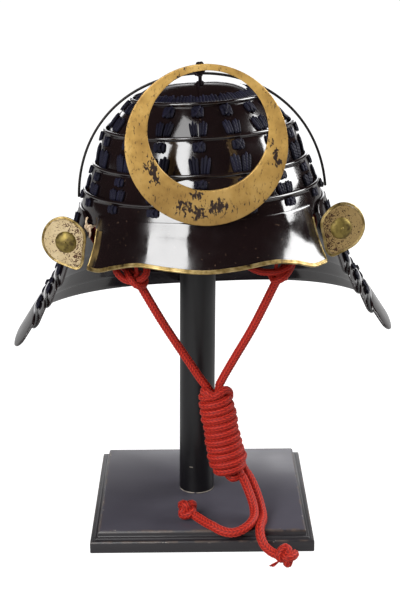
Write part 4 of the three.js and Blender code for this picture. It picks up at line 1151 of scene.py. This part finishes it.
# Crest tie: plum-black silk cords that bind the crescent's horns, one run down to the crown and one back to
# the hoop, with a knot at each end.
plum_silk, shader = new_finish("plum_black_silk", Roughness=0.75, Specular_IOR_Level=0.15)
groove = add_node(plum_silk, "Attribute", attribute_name="groove")
# Painted shade: the ramp paints the cord darker where the groove depth is low, between strands.
plum_groove_shade_ramp = add_node(
    plum_silk, "ValToRGB", {"Fac": groove.outputs["Fac"]}, stops=[(0, "#080406"), (1, "#1f1117")])
fill(shader, {"Base Color": plum_groove_shade_ramp})
tip = CREST["disc"][1] + CREST["disc"][2]
back = CREST["back"]
hoop_top = Vector((HOOP["x"], 0, HOOP["z"] + HOOP["radius"] + HOOP["thick"] / 2)) * MM
hoop_top = np.array(HELMET_PLACE @ hoop_top) / MM
tie_routes = [
    [(2, back + 2.6, tip - 1), (2.2, back + 5, tip - 4), (2, -90, 460), (0, -45, 452),
     hoop_top + (0, -2, 2), hoop_top + (0, 8, 0.5)],
    [(1.2, back + 1.9, tip - 1), (1.3, back + 3.6, tip - 6), (1.4, -112, tip - 13), (1.6, -80, tip - 23),
     (1.6, -56, tip - 28.4)],
]
tie_tubes = [
    braided_tube(smooth_route(route, 0.4), wide, sides=24) for route, wide in zip(tie_routes, (2.8, 3.2))]
TIE_KNOTS = [
    ((1.2, back + 1.9, tip - 1.4), 0.8), ((1.3, back + 3.6, tip - 7.2), 1.2), ((1.6, -56, tip - 28.4), 0.9),
    (hoop_top + (0, -5, 1), 0.9),
]
knot_line = trefoil(70, -1.1)
for spot, size in TIE_KNOTS:
    tie_tubes.append(braided_tube(np.array(spot) + knot_line * size, 2.6, sides=16, closed=True))
crest_tie = cord_piece("crest_tie_cord", tie_tubes, plum_silk)
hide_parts("crest_tie")


# Studio: a pale floor, a white backdrop behind, and soft boxes to the left of the camera and at the right.
def softbox(name, azimuth, elevation, distance, size, power, aim=(0, 0, 0.33)):
    """An area light at an angle from the front, turned to the helmet. Azimuth grows to the viewer's right."""
    turn, lift = math.radians(azimuth), math.radians(elevation)
    offset = Vector((math.sin(turn) * math.cos(lift), -math.cos(turn) * math.cos(lift), math.sin(lift)))
    lamp = bpy.data.lights.new(name, "AREA")
    lamp.shape = "RECTANGLE"
    lamp.size, lamp.size_y = size
    lamp.energy = power
    holder = bpy.data.objects.new(name, lamp)
    place = Matrix.Translation(Vector(aim) + offset * distance)
    holder.matrix_world = place @ offset.to_track_quat("Z", "Y").to_matrix().to_4x4()
    bpy.context.scene.collection.objects.link(holder)


softbox("left_bank", -33, 24, 1.9, (1.25, 1.2), 42)
softbox("right_bank", 102, 26, 1.7, (1.05, 1.2), 40)
softbox("top_bank", -38, 68, 1.9, (0.7, 0.7), 5)

bpy.ops.mesh.primitive_circle_add(vertices=96, radius=7, fill_type="NGON", location=(0, 0, -0.0004))
floor = bpy.context.object
floor.name = "floor"
floor_paper, shader = new_finish(
    "pale_paper", Roughness=0.9, Specular_IOR_Level=0.1, Base_Color=linear("#8f8f8f"),
    Emission_Color=linear("#ffffff"))
ray = add_node(floor_paper, "LightPath")
glow = add_node(floor_paper, "MapRange", {"Value": ray.outputs["Is Camera Ray"], "To Min": 0.3})
fill(shader, {"Emission Strength": glow})
floor.data.materials.append(floor_paper)

# The room is dark brown behind the camera and white behind the helmet.
world = bpy.data.worlds.new("studio")
bpy.context.scene.world = world
world.use_nodes = True
room = world.node_tree.nodes["Background"]
aim = add_node(world, "TexCoord")
split = add_node(world, "SeparateXYZ", {"Vector": aim.outputs["Generated"]})
depth = add_node(world, "MapRange", {"Value": split.outputs["Y"], "From Min": 0.88, "From Max": 0.95})
low = add_node(world, "MapRange", {"Value": split.outputs["Z"], "From Min": 0.42, "From Max": 0.28})
backdrop = add_node(world, "Math", {0: depth, 1: low}, operation="MULTIPLY")
room_tone = add_node(world, "Mix", {
    0: backdrop, 6: linear("#2c2422"), 7: (2.4, 2.4, 2.45, 1)}, data_type="RGBA")
ray = add_node(world, "LightPath")
seen = add_node(world, "Mix", {
    0: ray.outputs["Is Camera Ray"], 6: room_tone.outputs[2], 7: linear("#ffffff")}, data_type="RGBA")
fill(room, {"Color": seen.outputs[2]})
bpy.context.scene.view_settings.view_transform = "Standard"
